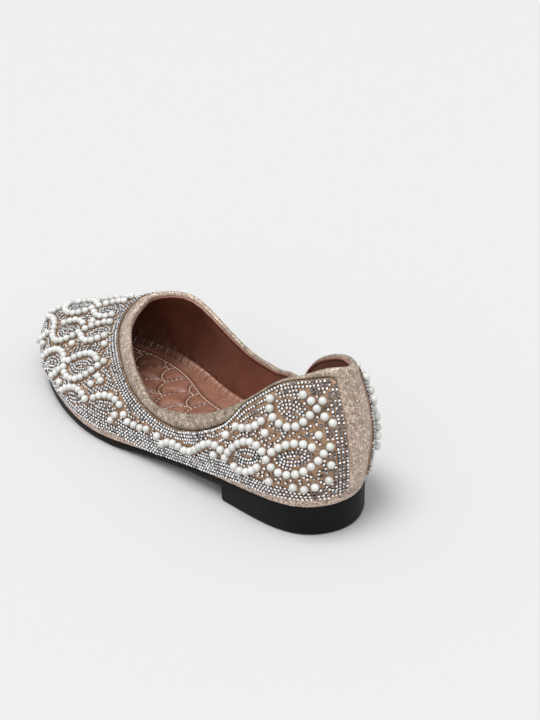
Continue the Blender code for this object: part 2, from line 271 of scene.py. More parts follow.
last = Last(TABLE)
print(f"girth {last.girth:.1f}, toe at {last.toe:.1f}")
print(f"walls {last.height.min():.1f} to {last.height.max():.1f} along their curve")

# %% [markdown]
# The chart has to lie on the CAD model, or beads would float over it.  Every vertex of the CAD
# upper is on its outer or its inner face, so each is looked up and the largest miss is printed.

# %% Finding a place on the chart, and proving the chart against the CAD model
INSIDE = -1.9  # the lining's face, from the outer surface


def tree_of(points):
    """The points, sorted so that the nearest one is found quickly."""
    tree = KDTree(len(points))
    for i, point in enumerate(points):
        tree.insert(point, i)
    tree.balance()
    return tree


def nearest(tree, points):
    """The number and the distance of the tree's nearest point, for each point."""
    found = [tree.find(point) for point in points]
    return np.array([number for _, number, _ in found], int), np.array([away for _, _, away in found])


class Finder:
    """Looks up which place on the last is nearest to a point."""

    LEVELS = 61  # knots up each wall; round the shoe every second column has them

    def __init__(self):
        columns = np.arange(0, Last.COLUMNS, 2)
        self.around = np.repeat(columns * last.girth / Last.COLUMNS, self.LEVELS)
        share = np.tile(np.linspace(0, 1, self.LEVELS), len(columns))
        self.up = share * last.read("height", self.around)
        self.tree = tree_of(last.place(self.around, self.up))

    def __call__(self, points):
        """around and up of each point, corrected along the surface from the nearest knot."""
        points = np.atleast_2d(points)
        near, _ = nearest(self.tree, points)
        around, up = self.around[near], self.up[near]
        for _ in range(2):
            here = last.place(around, up)
            ahead = last.place(around + 0.5, up) - last.place(around - 0.5, up)
            climb = last.blend(last.climb, around, up)
            facing = last.facing(around, up)
            miss = points - here
            miss = miss - facing * np.sum(miss * facing, axis=1)[:, None]
            # The two directions on the surface lean towards each other where walls flare.
            aa, bb = np.sum(ahead**2, axis=1), np.sum(climb**2, axis=1)
            ab = np.sum(ahead * climb, axis=1)
            am, bm = np.sum(ahead * miss, axis=1), np.sum(climb * miss, axis=1)
            whole = np.maximum(aa * bb - ab**2, 1e-6)
            around = (around + (am * bb - bm * ab) / whole) % last.girth
            up = np.clip(up + (bm * aa - am * ab) / whole, 0, last.read("height", around))
        return around, up


find = Finder()
upper_spots = np.array([tuple(vert.co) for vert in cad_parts["upper"].data.vertices]) / MM
around, up = find(upper_spots)
off = np.sum((upper_spots - last.place(around, up)) * last.facing(around, up), axis=1)
miss = np.minimum(np.abs(off), np.abs(off - INSIDE))
print(f"CAD upper off the chart: middle miss {np.median(miss):.2f} mm, largest {miss.max():.2f} mm")

# %% [markdown]
# ## How a finish is made
#
# A finish is a small graph of nodes.  Two helpers keep the graphs readable.  The first is
# Signal, which wraps a node's output, so that arithmetic on it reads like arithmetic and adds
# its Math nodes by itself.


# %% Shader arithmetic
class Signal:
    """A node's output that can be added, multiplied and so on, with numbers or other signals."""

    def __init__(self, finish, socket):
        self.finish, self.socket = finish, socket

    def math(self, operation, first, second):
        return self.finish.node("ShaderNodeMath", {"operation": operation}, {0: first, 1: second})

    def __add__(self, other):
        return self.math("ADD", self, other)

    def __sub__(self, other):
        return self.math("SUBTRACT", self, other)

    def __rsub__(self, other):
        return self.math("SUBTRACT", other, self)

    def __mul__(self, other):
        return self.math("MULTIPLY", self, other)

    def __gt__(self, other):
        return self.math("GREATER_THAN", self, other)

    __radd__ = __add__
    __rmul__ = __mul__


# %% [markdown]
# The second helper is Finish.  It makes every node in one way, settings first and then values or
# links, and it has a short name for each pattern that the shoe needs.  Patterns read Object
# coordinates, so their grain stays the same size on every piece.


# %% A finish and its nodes
class Finish:
    """One material: its shader's constants, and the one way that its nodes are made."""

    def __init__(self, name, constants):
        self.material = bpy.data.materials.new(name)
        self.material.use_nodes = True
        self.tree = self.material.node_tree
        self.shader = self.tree.nodes["Principled BSDF"]
        for socket, value in constants.items():
            self.shader.inputs[socket].default_value = value
        self.places = self.node("ShaderNodeTexCoord", output="Object")

    def node(self, kind, settings=None, inputs=None, output=0):
        """Adds a node: its settings first, then a value or a link for each input."""
        made = self.tree.nodes.new(kind)
        for name, value in (settings or {}).items():
            if name == "stops":
                set_stops(made.color_ramp, value)
            else:
                setattr(made, name, value)
        for key, value in (inputs or {}).items():
            if isinstance(value, Signal):
                self.tree.links.new(value.socket, made.inputs[key])
            else:
                made.inputs[key].default_value = value
        return Signal(self, made.outputs[output])

    def noise(self, size, detail=2.0, places=None):
        """Cloudy noise from 0 to 1, its clouds about this many millimetres across."""
        inputs = {"Vector": places or self.places, "Scale": 1 / (size * MM), "Detail": detail}
        return self.node("ShaderNodeTexNoise", {}, inputs)

    def flakes(self, size, places=None):
        """One random number from 0 to 1 for each flake of about this many millimetres."""
        inputs = {"Vector": places or self.places, "Scale": 1 / (size * MM)}
        colour = self.node("ShaderNodeTexVoronoi", {}, inputs, "Color")
        return self.node("ShaderNodeSeparateColor", {}, {0: colour}, "Red")

    def attribute(self, name):
        """A number that the piece itself carries at its vertices or faces."""
        return self.node("ShaderNodeAttribute", {"attribute_name": name}, output="Fac")

    def ramp(self, signal, stops):
        """A colour, or a reshaped number, for each value of the signal."""
        return self.node("ShaderNodeValToRGB", {"stops": stops}, {0: signal})

    def mix(self, factor, first, second, blend="MIX"):
        """The first colour turned into the second by this share, or blended with it."""
        settings = {"data_type": "RGBA", "blend_type": blend}
        return self.node("ShaderNodeMix", settings, {0: factor, 6: first, 7: second}, 2)

    def bump(self, height, depth, strength=1.0):
        """A dent of this many millimetres where height goes from 0 to 1."""
        inputs = {"Height": height, "Distance": depth * MM, "Strength": strength}
        return self.node("ShaderNodeBump", {}, inputs)

    def feed(self, inputs):
        """Joins the finished signals to the shader."""
        for name, signal in inputs.items():
            self.tree.links.new(signal.socket, self.shader.inputs[name])
        print(f"finish {self.material.name}: {len(self.tree.nodes)} nodes")


def set_stops(ramp, stops):
    """The ramp's colours, as (place, colour) from left to right."""
    while len(ramp.elements) < len(stops):
        ramp.elements.new(0.5)
    for element, (place, colour) in zip(ramp.elements, stops):
        element.position, element.color = place, colour


# %% [markdown]
# Shaders work with linear light.  Colours are easier to judge as a screen shows them, so most
# of them are given that way and converted once.


# %% Colours
def screen(red, green, blue):
    """A colour as a screen shows it, 0 to 255, in the linear numbers that shaders use."""
    linear = []
    for part in (red / 255, green / 255, blue / 255):
        linear.append(part / 12.92 if part <= 0.04045 else ((part + 0.055) / 1.055) ** 2.4)
    return (*linear, 1.0)


def grey(value):
    """The same linear number for red, green and blue."""
    return (value, value, value, 1.0)


BLACK, WHITE = grey(0.0), grey(1.0)
print("a mid grey of the screen is", [round(part, 3) for part in screen(128, 128, 128)])

# %% [markdown]
# ## How a piece is made
#
# Most pieces start as a flat grid and are then laid on the last: each vertex of the grid asks a
# small function where it belongs.  That keeps every mesh made of tidy squares, and the grid's
# own flat places stay behind as its UV map.  Where the grid comes round to its start, the two
# edges are merged, so a band round the shoe is closed.


# %% Laying a grid on the last
def laid_grid(mesh, columns, rows, place):
    """A flat grid, laid where place(s, t) says in millimetres; s and t run from 0 to 1.  The
    place may come with one number for each vertex, its mark, for the finish to read."""
    mesh.loops.layers.uv.verify()
    mark = mesh.verts.layers.float.get("mark") or mesh.verts.layers.float.new("mark")
    grid = bmesh.ops.create_grid(mesh, x_segments=columns, y_segments=rows, size=0.5, calc_uvs=True)
    verts = grid["verts"]
    s = np.array([vert.co.x for vert in verts]) + 0.5
    t = np.array([vert.co.y for vert in verts]) + 0.5
    spots = place(s, t)
    spots, marks = spots if isinstance(spots, tuple) else (spots, 0 * s)
    for vert, spot, value in zip(verts, spots, marks):
        vert.co, vert[mark] = spot * MM, value
    return verts


def finished(name, mesh):
    """The bmesh as a mesh that an object can have."""
    data = bpy.data.meshes.new(name)
    mesh.to_mesh(data)
    mesh.free()
    return data


def placed(name, data):
    """A new object in the scene."""
    item = bpy.data.objects.new(name, data)
    bpy.context.scene.collection.objects.link(item)
    return item


def make_piece(name, mesh, finish, stands_for=()):
    """Closes the mesh's seams, turns its faces outwards and hands it to the CAD body."""
    bmesh.ops.remove_doubles(mesh, verts=mesh.verts, dist=1e-6)
    bmesh.ops.recalc_face_normals(mesh, faces=mesh.faces)
    return dress(name, finished(name, mesh), finish, stands_for)


def dress(name, data, finish, stands_for=(), smooth=True):
    """Gives a mesh its finish and its object, hangs it on the body it rides on, and hides the CAD parts that
    it stands for.
    """
    if smooth:
        data.shade_smooth()
    data.materials.clear()
    data.materials.append(finish.material)
    piece = placed(name, data)
    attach(piece, "root")
    if stands_for:
        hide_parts(*stands_for)
    print(f"{name}: {len(data.polygons)} faces")
    return piece


# %% [markdown]
# No fabric is perfectly even.  Two small functions are used again and again for that: one makes
# slow waves, and the other goes smoothly from nothing to all.


# %% Waves and smooth steps
def ripples(x, y, sizes, seed):
    """Gentle unevenness between about -1 and 1, from a few slanting waves of these sizes."""
    draw = np.random.default_rng(seed)
    total = np.zeros(np.broadcast(x, y).shape)
    for size in sizes:
        angle, phase = draw.uniform(0, math.pi), draw.uniform(0, 2 * math.pi)
        total = total + np.sin((x * math.cos(angle) + y * math.sin(angle)) * 2 * math.pi / size + phase)
    return total / len(sizes)


def step_up(x, low, high):
    """0 below low, 1 above high and a smooth rise between."""
    t = np.clip((x - low) / (high - low), 0, 1)
    return t * t * (3 - 2 * t)


print("half way up a smooth step from 2 to 6:", float(step_up(4.0, 2.0, 6.0)))

# %% [markdown]
# ## The section that is swept round the shoe
#
# The fabric, the lining and the beaded panel are each one closed section carried round the last.
# A section is a list of corners.  Each corner has a level (0 at the feather line, 1 at the
# hem's upper edge, 2 at the band's lower edge and 3 at the rim), a distance up from there, and
# how far out it stands, once for the sides and once for the bare strip down the back.  A smooth
# curve is drawn through the corners.

# %% The strip down the back
STRIP_FOOT = 13.4  # bare strip down the back of the heel, where it meets the hem
STRIP_TOP = 21.0  # and where it meets the top band


def strip_half(climb):
    """Half the strip's width, at this share of the way from hem to band."""
    return (STRIP_FOOT + (STRIP_TOP - STRIP_FOOT) * climb) / 2


def from_back(around):
    """Distance from the middle of the back: above zero on the outer side, below on the inner."""
    around = np.asarray(around, float) % last.girth
    return np.where(around > last.girth / 2, around - last.girth, around)


print("strip half width at the hem and at the band:", strip_half(0), strip_half(1))

# %% [markdown]
# The stations give each strip a plain width.  A worn-in shoe is less regular: the soft rim sags
# in places, the panel climbs into the band on the quarters, and the hem shows more at the heel
# and along the forefoot.  These small departures are added here, where all pieces read them.

# %% The levels round the shoe
# Where the rim dips below the last's own line, as (from the back, half its reach, depth).
RIM_DIPS = ((26, 9, 2.2), (127, 13, 3.8), (-66, 12, 6.0), (-105, 10, -1.3))
QUARTER_CLIMB = 4.9  # how far the panel climbs into the band on the quarters
VAMP_CLIMB = 0.8  # and over the vamp
LEAST_BAND = 1.6  # how much band is left where the panel climbs highest
FULL_BAND = 4.4  # a band narrower than this is swept with a smaller roll
HEEL_HEM = 1.8  # how much more of the hem shows at the heel
FOREFOOT_HEM = 3.6  # and along the forefoot, half as much at the tip of the toe


def levels_at(around):
    """Feather line, hem's edge, band's lower edge and rim at each place round the shoe."""
    away = from_back(around)
    gone = np.abs(away)
    height = last.read("height", around)
    on_quarter = step_up(gone, 22, 42) - step_up(gone, 55, 72)
    edge = height - last.read("band", around) + QUARTER_CLIMB * on_quarter
    edge = edge + VAMP_CLIMB * step_up(gone, 140, 160)
    for middle, reach, depth in RIM_DIPS:
        height = height - depth * np.exp(-(((away - middle) / reach) ** 2))
    shown = HEEL_HEM * (1 - step_up(gone, 60, 90))
    shown = shown + FOREFOOT_HEM * step_up(gone, 118, 150) * (1 - 0.5 * step_up(gone, 200, 235))
    hem = last.read("hem", around) + shown
    return np.stack([0 * height, hem, np.minimum(edge, height - LEAST_BAND), height])


print("levels at the waist:", np.round(levels_at(np.array([75.0]))[:, 0], 1))

# %% [markdown]
# A section's corners are joined by a smooth closed curve, and the curve is then a plain sum: so
# much of each corner at each of its points.  The same sum moves the whole section as the corners
# rise and fall round the shoe.


# %% Sweeping a section
def closed_curve(corners, steps):
    """Shares of the corners in each point of a smooth closed curve through them."""
    count, shares = len(corners), []
    for i, pieces in enumerate(steps):
        for t in np.arange(pieces) / pieces:
            row = np.zeros(count)
            row[(i - 1) % count] += (-t + 2 * t**2 - t**3) / 2
            row[i] += (2 - 5 * t**2 + 3 * t**3) / 2
            row[(i + 1) % count] += (t + 4 * t**2 - 3 * t**3) / 2
            row[(i + 2) % count] += (-(t**2) + t**3) / 2
            shares.append(row)
    return np.array(shares)


def sweep(mesh, stops, section, relief, marked):
    """One closed section carried round the shoe.  relief(around, up, out) moves it in or out,
    and marked(around, up, out) gives each vertex a number for the finish to read."""
    levels, rises, outs, strip_outs, steps = (np.array(part) for part in zip(*section))
    shares = closed_curve(levels, steps.astype(int))
    heights = levels_at(stops)
    up = np.empty((len(stops), len(levels)))
    squeeze = np.minimum(1, (heights[3] - heights[2]) / FULL_BAND)
    on_band = (levels >= 2) & (outs > 0.3)
    for i in range(len(stops)):
        up[i] = np.interp(levels, range(4), heights[:, i]) + rises * np.where(on_band, squeeze[i], 1)
    climb = np.clip((up - heights[1][:, None]) / (heights[2] - heights[1])[:, None], 0, 1)
    in_strip = 1 - step_up(np.abs(from_back(stops))[:, None] - strip_half(climb), -0.6, 0.9)
    out = outs * (1 - in_strip) + strip_outs * in_strip
    up, out = up @ shares.T, out @ shares.T
    columns, rows = len(stops), len(shares)

    def place(s, t):
        i = np.round(s * columns).astype(int) % columns
        j = np.round(t * rows).astype(int) % rows
        a, u, o = stops[i], up[i, j], out[i, j]
        return last.place(a, u, o + relief(a, u, o)), marked(a, u, o)

    return laid_grid(mesh, columns, rows, place)


def stops_round(fine, coarse, half_width):
    """Distances round the shoe, close together near the back and further apart elsewhere."""
    back = np.arange(-half_width, half_width, fine)
    count = int((last.girth - 2 * half_width) / coarse)
    rest = np.linspace(half_width, last.girth - half_width, count, endpoint=False)
    return np.concatenate([back, rest])


BACK_HALF = 12.5  # half of the finely divided stretch, which holds the strip and its seam
print("stops round the shoe:", len(stops_round(0.3, 1.15, BACK_HALF)))

# %% [markdown]
# ## The champagne fabric
#
# The fabric is a knit coated with metal flakes.  Up close it is a beige ground with light flakes
# that catch the lamp and dark specks between them, about half a millimetre across, over slow
# patches where the coating is thicker.  Each flake gets one random number, and ramps turn that
# number into its colour, its shine and a slight tilt.

# %% Champagne glitter fabric
champagne = Finish("champagne_fabric", {"IOR": 1.45, "Sheen Weight": 0.12, "Sheen Roughness": 0.4})
wear_and_shade = champagne.attribute("mark")
flake = champagne.flakes(0.42)
patch_tone = champagne.noise(2.6, 4.0)
grain = champagne.noise(0.5, 2.0)
ground = champagne.ramp(patch_tone, [(0.3, screen(150, 134, 118)), (0.7, screen(220, 203, 185))])
speck = champagne.ramp(flake, [
    (0.0, (0.26, 0.24, 0.22, 1)),
    (0.25, (0.66, 0.64, 0.62, 1)),
    (0.72, WHITE),
    (1.0, grey(1.6)),
])
glitter = champagne.mix(1.0, ground, speck, "MULTIPLY")

# Where it is rubbed down, the ground is peach, with finer specks and a net of thin cracks.
cracks = champagne.node("ShaderNodeTexVoronoi", {"feature": "DISTANCE_TO_EDGE"},
                        {"Vector": champagne.places, "Scale": 1 / (2.0 * MM)}, "Distance")
peach_blend = patch_tone * 0.7 + flake * 0.3
peach = champagne.ramp(peach_blend, [(0.3, screen(192, 167, 151)), (0.7, screen(232, 214, 199))])
fine_speck = champagne.ramp(champagne.flakes(0.55), [
    (0.0, (0.1, 0.08, 0.07, 1)),
    (0.24, (0.68, 0.66, 0.65, 1)),
    (0.6, grey(1.02)),
    (1.0, grey(1.6)),
])
peach = champagne.mix(1.0, peach, fine_speck, "MULTIPLY")
crack_share = champagne.ramp(cracks, [(0.0, grey(0.55)), (0.16, BLACK)])
peach = champagne.mix(crack_share, peach, screen(150, 122, 106))
# Painted shade: where the mark is below 0, along the band's lower edge by the groove, the colour is
# darkened.
painted_shade_tone = champagne.ramp(wear_and_shade * 0.5 + 0.5, [(0.0, (0.42, 0.38, 0.34, 1)), (0.5, WHITE)])
champagne.feed({
    "Base Color": champagne.mix(1.0, champagne.mix(wear_and_shade, glitter, peach), painted_shade_tone, "MULTIPLY"),
    "Metallic": (0.12 + 0.6 * flake) * (1 - 0.75 * wear_and_shade),
    "Roughness": 0.62 - 0.28 * flake,
    "Normal": champagne.bump(flake * 0.6 + grain, 0.07, 0.8),
})


# %% [markdown]
# The finish can't know by itself where the shoe is worn, or where shade is painted.  Each vertex of the
# shell therefore carries one number, which this function gives and the finish reads back as an attribute.


# %% Where the coating is worn, and where shade is painted
def wear_and_shade_at(around, up, out):
    """Above 0 where the colour turns to its peach ground: on the strip and the hem, where the coating
    has rubbed down, and along the throat's band.  Below 0 along the band's lower edge beside the
    panel's groove, where shade is painted darker."""
    _, hem, edge, height = levels_at(around)
    gone = np.abs(from_back(around))
    climb = np.clip((up - hem) / (edge - hem), 0, 1)
    strip = (1 - step_up(gone - strip_half(climb), -1.5, 1.0)) * (0.9 - 0.45 * climb**2)
    foot = 1 - step_up(up - hem, -0.3, 0.5)
    throat = 0.78 * step_up(gone, 135, 175) * step_up(up, edge - 1, edge + 1)
    beside = step_up(gone - strip_half(climb), 1.0, 4.0)
    # Painted shade along the band's lower edge, beside the groove.
    painted_shade = 0.75 * beside * np.exp(-(((up - edge) / (0.3 * (height - edge))) ** 2)) * (1 - foot)
    return np.maximum.reduce([strip, foot, throat]) * (1 - painted_shade) - painted_shade


print("wear half way up the strip:", np.round(wear_and_shade_at(np.array([0.0]), np.array([40.0]), 0.0), 2))

# %% [markdown]
# The upper is one closed shell.  Its section climbs the outside, dips into a dark groove where
# the beaded panel ends, swells over the padded band, rolls over the rim and ends a little way
# down the inside.  Down the back the groove is left out, so the band runs into the bare strip.

# %% The fabric shell of the upper
#              level rise    out  strip steps
FABRIC_SECTION = [
    (0, 0.4, -0.95, -0.95, 2),
    (0, -0.25, -0.80, -0.80, 2),
    (0, -0.22, -0.25, -0.25, 2),
    (0, 0.35, 0.05, 0.10, 3),
    (0.5, 0.0, 0.28, 0.40, 3),
    (1, -0.4, 0.15, 0.55, 3),
    (1, 0.6, 0.0, 0.60, 14),
    (1.5, 0.0, 0.0, 0.70, 14),
    (2, -0.8, 0.0, 0.80, 3),
    (2, 0.05, -0.15, 0.85, 3),
    (2, 0.45, 0.55, 0.90, 3),
    (2, 1.3, 1.05, 1.00, 3),
    (2.5, 0.2, 1.25, 1.15, 4),
    (3, -1.3, 1.15, 1.10, 3),
    (3, -0.25, 0.65, 0.65, 3),
    (3, 0.18, -0.15, -0.15, 3),
    (3, 0.0, -1.0, -1.0, 3),
    (3, -0.6, -1.5, -1.5, 3),
    (3, -1.9, -1.6, -1.6, 3),
    (3, -2.3, -1.35, -1.35, 2),
    (3, -1.9, -0.95, -0.95, 3),
    (1.5, 0.0, -0.95, -0.95, 3),
]
# Creases across the strip, as (height at its middle, distance off the seam, slant).
HEEL_CREASES = ((13.5, -2.0, 0.10), (17.0, 1.5, -0.12), (20.5, -3.0, 0.08), (24.5, 2.5, -0.06))


def heel_strip_relief(around, up, out):
    """The seam down the back, creases across the strip, and the band's slight unevenness."""
    x = from_back(around)
    outer = step_up(out, -0.4, 0.3)
    seam = -0.38 * np.exp(-((x / 0.32) ** 2)) + 0.14 * np.exp(-(((np.abs(x) - 0.9) / 0.5) ** 2))
    creases = 0 * x
    for level, middle, slant in HEEL_CREASES:
        reach = np.exp(-(((x - middle) / 5.5) ** 4))
        creases = creases - 0.28 * reach * np.exp(-(((up - level - slant * x) / 0.55) ** 2))
        creases = creases + 0.16 * reach * np.exp(-(((up - level - 1.3 - slant * x) / 0.8) ** 2))
    puffy = 0.10 * ripples(around, up, (11, 7, 17), 3)
    return outer * (seam + creases + puffy)


mesh = bmesh.new()
sweep(mesh, stops_round(0.3, 1.15, BACK_HALF), FABRIC_SECTION, heel_strip_relief, wear_and_shade_at)
make_piece("fabric_shell", mesh, champagne, ["upper"])

# %% [markdown]
# ## The lining
#
# Inside, the shoe is lined with a soft rosy brown leather.  Its top edge shows as a thin shiny
# fold just under the rim, with a painted highlight, and near the sock it gathers into faint pleats,
# with painted glints.

# %% Rosy brown lining leather
lining_leather = Finish("lining_leather", {"IOR": 1.45, "Coat Roughness": 0.3})
fold_highlight = lining_leather.attribute("mark")
pores = lining_leather.flakes(0.55)
cloud = lining_leather.noise(16.0, 3.0)
fine = lining_leather.noise(0.8, 3.0)
hide_blend = cloud * 0.4 + fine * 0.6
hide = lining_leather.ramp(hide_blend, [(0.3, screen(104, 58, 43)), (0.7, screen(148, 92, 72))])

# The gathers' glints are painted as light strokes, painted highlights that run up the wall from
# the sock.  They are noise on the piece's UV map, which runs once round the shoe in U, squeezed to
# about 1.5 mm for each stroke.
unrolled = lining_leather.node("ShaderNodeTexCoord", output="UV")
strokes = {"Vector": unrolled, "Scale": (last.girth / 1.5, 5.0, 1.0)}
squeezed = lining_leather.node("ShaderNodeMapping", {}, strokes)
section_place = lining_leather.node("ShaderNodeSeparateXYZ", {}, {0: unrolled}, "Y")
foot_only = lining_leather.ramp(section_place, [(0.13, WHITE), (0.25, BLACK)])
stroke_noise = lining_leather.noise(1 / MM, 2.0, squeezed)
gather_glints = lining_leather.ramp(stroke_noise, [(0.5, BLACK), (0.66, WHITE)])
hide = lining_leather.mix(gather_glints * foot_only * 0.7, hide, screen(206, 160, 138))
lining_leather.feed({
    # The fold is painted lighter: a painted highlight, on top of its real gloss.
    "Base Color": lining_leather.mix(fold_highlight, hide, screen(184, 132, 116)),
    "Roughness": 0.3 + 0.26 * fine - 0.06 * fold_highlight,
    "Coat Weight": 0.25 + 0.3 * fold_highlight,
    "Normal": lining_leather.bump(pores * 0.7 + fine, 0.2, 1.0),
})


# %% [markdown]
# The lining's section starts at the feather line, climbs the inner wall and turns over into the
# fold just under the rim.  It is closed on the side that nobody sees, against the fabric.


# %% The lining
def fold_highlight_at(around, up, out):
    """1 on the fold under the rim, which is glossier and painted lighter as a highlight; it fades out beside
    the outer throat.
    """
    away = from_back(around)
    throat = step_up(away, 90, 120) * (1 - step_up(away, 230, 250))
    return step_up(up - levels_at(around)[3], -2.0, -1.2) * (1 - throat)


#              level rise    out  strip steps
LINING_SECTION = [
    (0, 0.6, -1.05, -1.05, 3),
    (0, 1.0, -1.75, -1.75, 3),
    (0, 2.6, -1.95, -1.95, 16),
    (1.5, 0.0, -1.95, -1.95, 16),
    (3, -3.6, -1.95, -1.95, 3),
    (3, -2.1, -2.10, -2.10, 3),
    (3, -1.0, -2.35, -2.35, 3),
    (3, -0.65, -2.15, -2.15, 3),
    (3, -1.1, -1.80, -1.80, 3),
    (3, -2.9, -1.35, -1.35, 3),
    (1.5, 0.0, -1.05, -1.05, 3),
]


def lining_relief(around, up, out):
    """Pleats low on the inner wall, and a little slack all over it."""
    inner = step_up(-out, 1.5, 1.9)
    pleats = np.sin(around * 2 * math.pi / 3.1 + 1.5 * np.sin(around / 7)) * step_up(-up, -9, -3)
    slack = ripples(around, up, (31, 19, 13), 8)
    return -inner * (0.14 * pleats + 0.22 * slack)


mesh = bmesh.new()
sweep(mesh, stops_round(1.0, 1.0, BACK_HALF), LINING_SECTION, lining_relief, fold_highlight_at)
make_piece("lining", mesh, lining_leather, ())

# %% [markdown]
# ## The beaded panel
#
# Beads are sewn to a tan cloth before the shoe is made up.  The cloth is a thin sheet with
# rounded ends, cut raw, so its edge is a little wavy and browner than its face.

# %% Tan backing cloth
backing = Finish("beading_backing", {"IOR": 1.45})
weave = backing.flakes(0.5)
stain = backing.noise(3.0, 3.0)
tan = backing.ramp(stain * 0.6 + weave * 0.4, [
    (0.25, screen(132, 100, 76)),
    (0.55, screen(184, 149, 120)),
    (0.8, screen(218, 188, 160)),
])
backing.feed({
    "Base Color": tan,
    "Roughness": 0.4 + 0.3 * weave,
    "Metallic": weave * 0.25,
    "Normal": backing.bump(weave + stain, 0.12, 0.7),
})

# %% [markdown]
# The sheet is one grid laid on the last, from one side of the strip round the toe to the other.
# Near its two ends each column is cut shorter along a quarter circle, which rounds the corners.
# Solidify then gives the cloth its thickness inwards, so the grid itself stays the sewn face.

# %% The sheet of the panel
PANEL_BACK = 0.35  # its underside, out from the last
PANEL_FACE = 1.1  # the cloth's face, where beads are sewn
CORNER = 4.0  # rounded corners at both ends of the panel
FACE_COLUMNS, FACE_ROWS = 640, 34


def panel_edges(around):
    """Lowest and highest place of the cloth in this column."""
    _, hem, edge, _ = levels_at(around)
    wave = 0.16 * ripples(around, 0 * around, (5.3, 8.1, 3.7), 5)
    return hem + wave, edge - 0.1 + wave


def panel_place(share, climb, out):
    """A place on the cloth: share runs from end to end, climb from the hem to the band."""
    end = strip_half(climb) + 0.1 * ripples(climb * 40, 0 * climb, (7, 4.4), 6)
    around = end + share * (last.girth - 2 * end)
    inside = np.minimum(around - end, last.girth - end - around)
    low, high = panel_edges(around)
    tuck = CORNER - np.sqrt(np.maximum(CORNER**2 - np.maximum(CORNER - inside, 0) ** 2, 0))
    low, high = low + tuck, high - tuck
    return last.place(around, low + (high - low) * climb, out)


def face_place(s, t):
    """The sewn face, a little puckered by its stitches."""
    pucker = 0.10 * ripples(s * last.girth, t * 50, (2.9, 4.1, 6.7), 12)
    return panel_place(s, t, PANEL_FACE + pucker)


def faces_inwards(mesh, middle):
    """True if more of an open sheet looks towards the middle than away from it."""
    outward = 0.0
    for face in mesh.faces:
        outward += face.calc_area() * face.normal.dot(face.calc_center_median() - middle)
    return outward < 0


mesh = bmesh.new()
laid_grid(mesh, FACE_COLUMNS, FACE_ROWS, face_place)
bmesh.ops.recalc_face_normals(mesh, faces=mesh.faces)
if faces_inwards(mesh, Vector(tuple(last.foot.mean(axis=0) * MM))):
    bmesh.ops.reverse_faces(mesh, faces=list(mesh.faces))
beaded_panel = dress("beaded_panel", finished("beaded_panel", mesh), backing, ["beaded_overlay"])
thick = beaded_panel.modifiers.new("Cloth", "SOLIDIFY")
thick.thickness, thick.offset, thick.use_even_offset = (PANEL_FACE - PANEL_BACK) * MM, -1, True

# %% [markdown]
# ## Places for pearls and stones
#
# Every pearl and every stone is first only a place: how far round and how far up.  Motifs are
# drawn as smooth lines and then threaded at an even pitch, as a beader does, and a bead that
# would sit on another is left out.


# %% Threading beads on a line
PEARL = 4.1  # diameter
PEARL_PITCH = 4.2
SMALL_PEARL = 0.93  # the vamp's pearls, as a share of the quarters'
STONE = 1.7  # across a stone with its setting
STONE_PITCH = 1.72


def smooth_line(points, closed=False, steps=12):
    """A smooth line through (around, up) points or through points in space."""
    points = np.asarray(points, float)
    before = points[-1:] if closed else 2 * points[:1] - points[1:2]
    after = points[:2] if closed else 2 * points[-1:] - points[-2:-1]
    p = np.vstack([before, points, after])
    t = (np.arange(steps) / steps)[:, None]
    line = []
    for a, b, c, d in zip(p, p[1:], p[2:], p[3:]):
        bend, twist = 2 * a - 5 * b + 4 * c - d, 3 * b - a - 3 * c + d
        line.append(b + (c - a) * t / 2 + bend * t**2 / 2 + twist * t**3 / 2)
    if not closed:
        line.append(points[-1:])
    return np.vstack(line)


def thread(line, pitch, out, closed=False):
    """Places at an even pitch along a line of (around, up) places."""
    line = np.asarray(line, float)
    if closed:
        line = np.vstack([line, line[:1]])
    spots = last.place(line[:, 0], line[:, 1], out)
    run = np.concatenate([[0], np.cumsum(np.linalg.norm(np.diff(spots, axis=0), axis=1))])
    count = max(1, round(run[-1] / pitch))
    at = np.arange(count + (0 if closed else 1)) * run[-1] / count
    ahead = np.unwrap(line[:, 0], period=last.girth)
    return np.column_stack([np.interp(at, run, ahead) % last.girth, np.interp(at, run, line[:, 1])])


def frame_at(around, up):
    """A point of the surface with its outward, heelward and over-the-foot directions."""
    spot, normal = last.place(around, up, PANEL_FACE), last.facing(around, up)
    heelward = unit(np.array([0, 1.0, 0]) - normal * normal[..., 1:2])
    return spot, normal, heelward, np.cross(normal, heelward)


def around_centre(centre, offsets, turn=0.0):
    """(heelward, over) offsets in millimetres from a centre, as places on the surface."""
    spot, _, heelward, over = frame_at(np.array([centre[0]]), np.array([centre[1]]))
    turn = math.radians(turn)
    p, q = np.asarray(offsets, float).T
    p, q = p * math.cos(turn) - q * math.sin(turn), p * math.sin(turn) + q * math.cos(turn)
    return np.column_stack(find(spot + p[:, None] * heelward + q[:, None] * over))


def walk(start, distance):
    """Walks from a place across the foot, in steps, keeping level along the shoe."""
    place = np.array(start, float)
    count = int(abs(distance))
    for _ in range(count):
        spot, _, _, over = frame_at(place[:1], place[1:])
        place = np.array(find(spot + over * distance / count)).ravel()
    return place


print("a walk of 10 mm from the outer waist leads to", np.round(walk((180, 20), 10), 1))

# %% [markdown]
# The motif that repeats is a braid.  Two strands of pearls cross, swell apart round an almond of
# stones and cross again.  One braid runs along each quarter, and others run side by side over
# the vamp, each half a cell ahead of the next.  Low on the sides only a braid's upper strand is
# left, as a row of hoods.

# %% The braids
BOTH = (1, -1)  # the upper strand and the lower one
CELL_STEPS = 24  # points of the guide in each cell of a braid

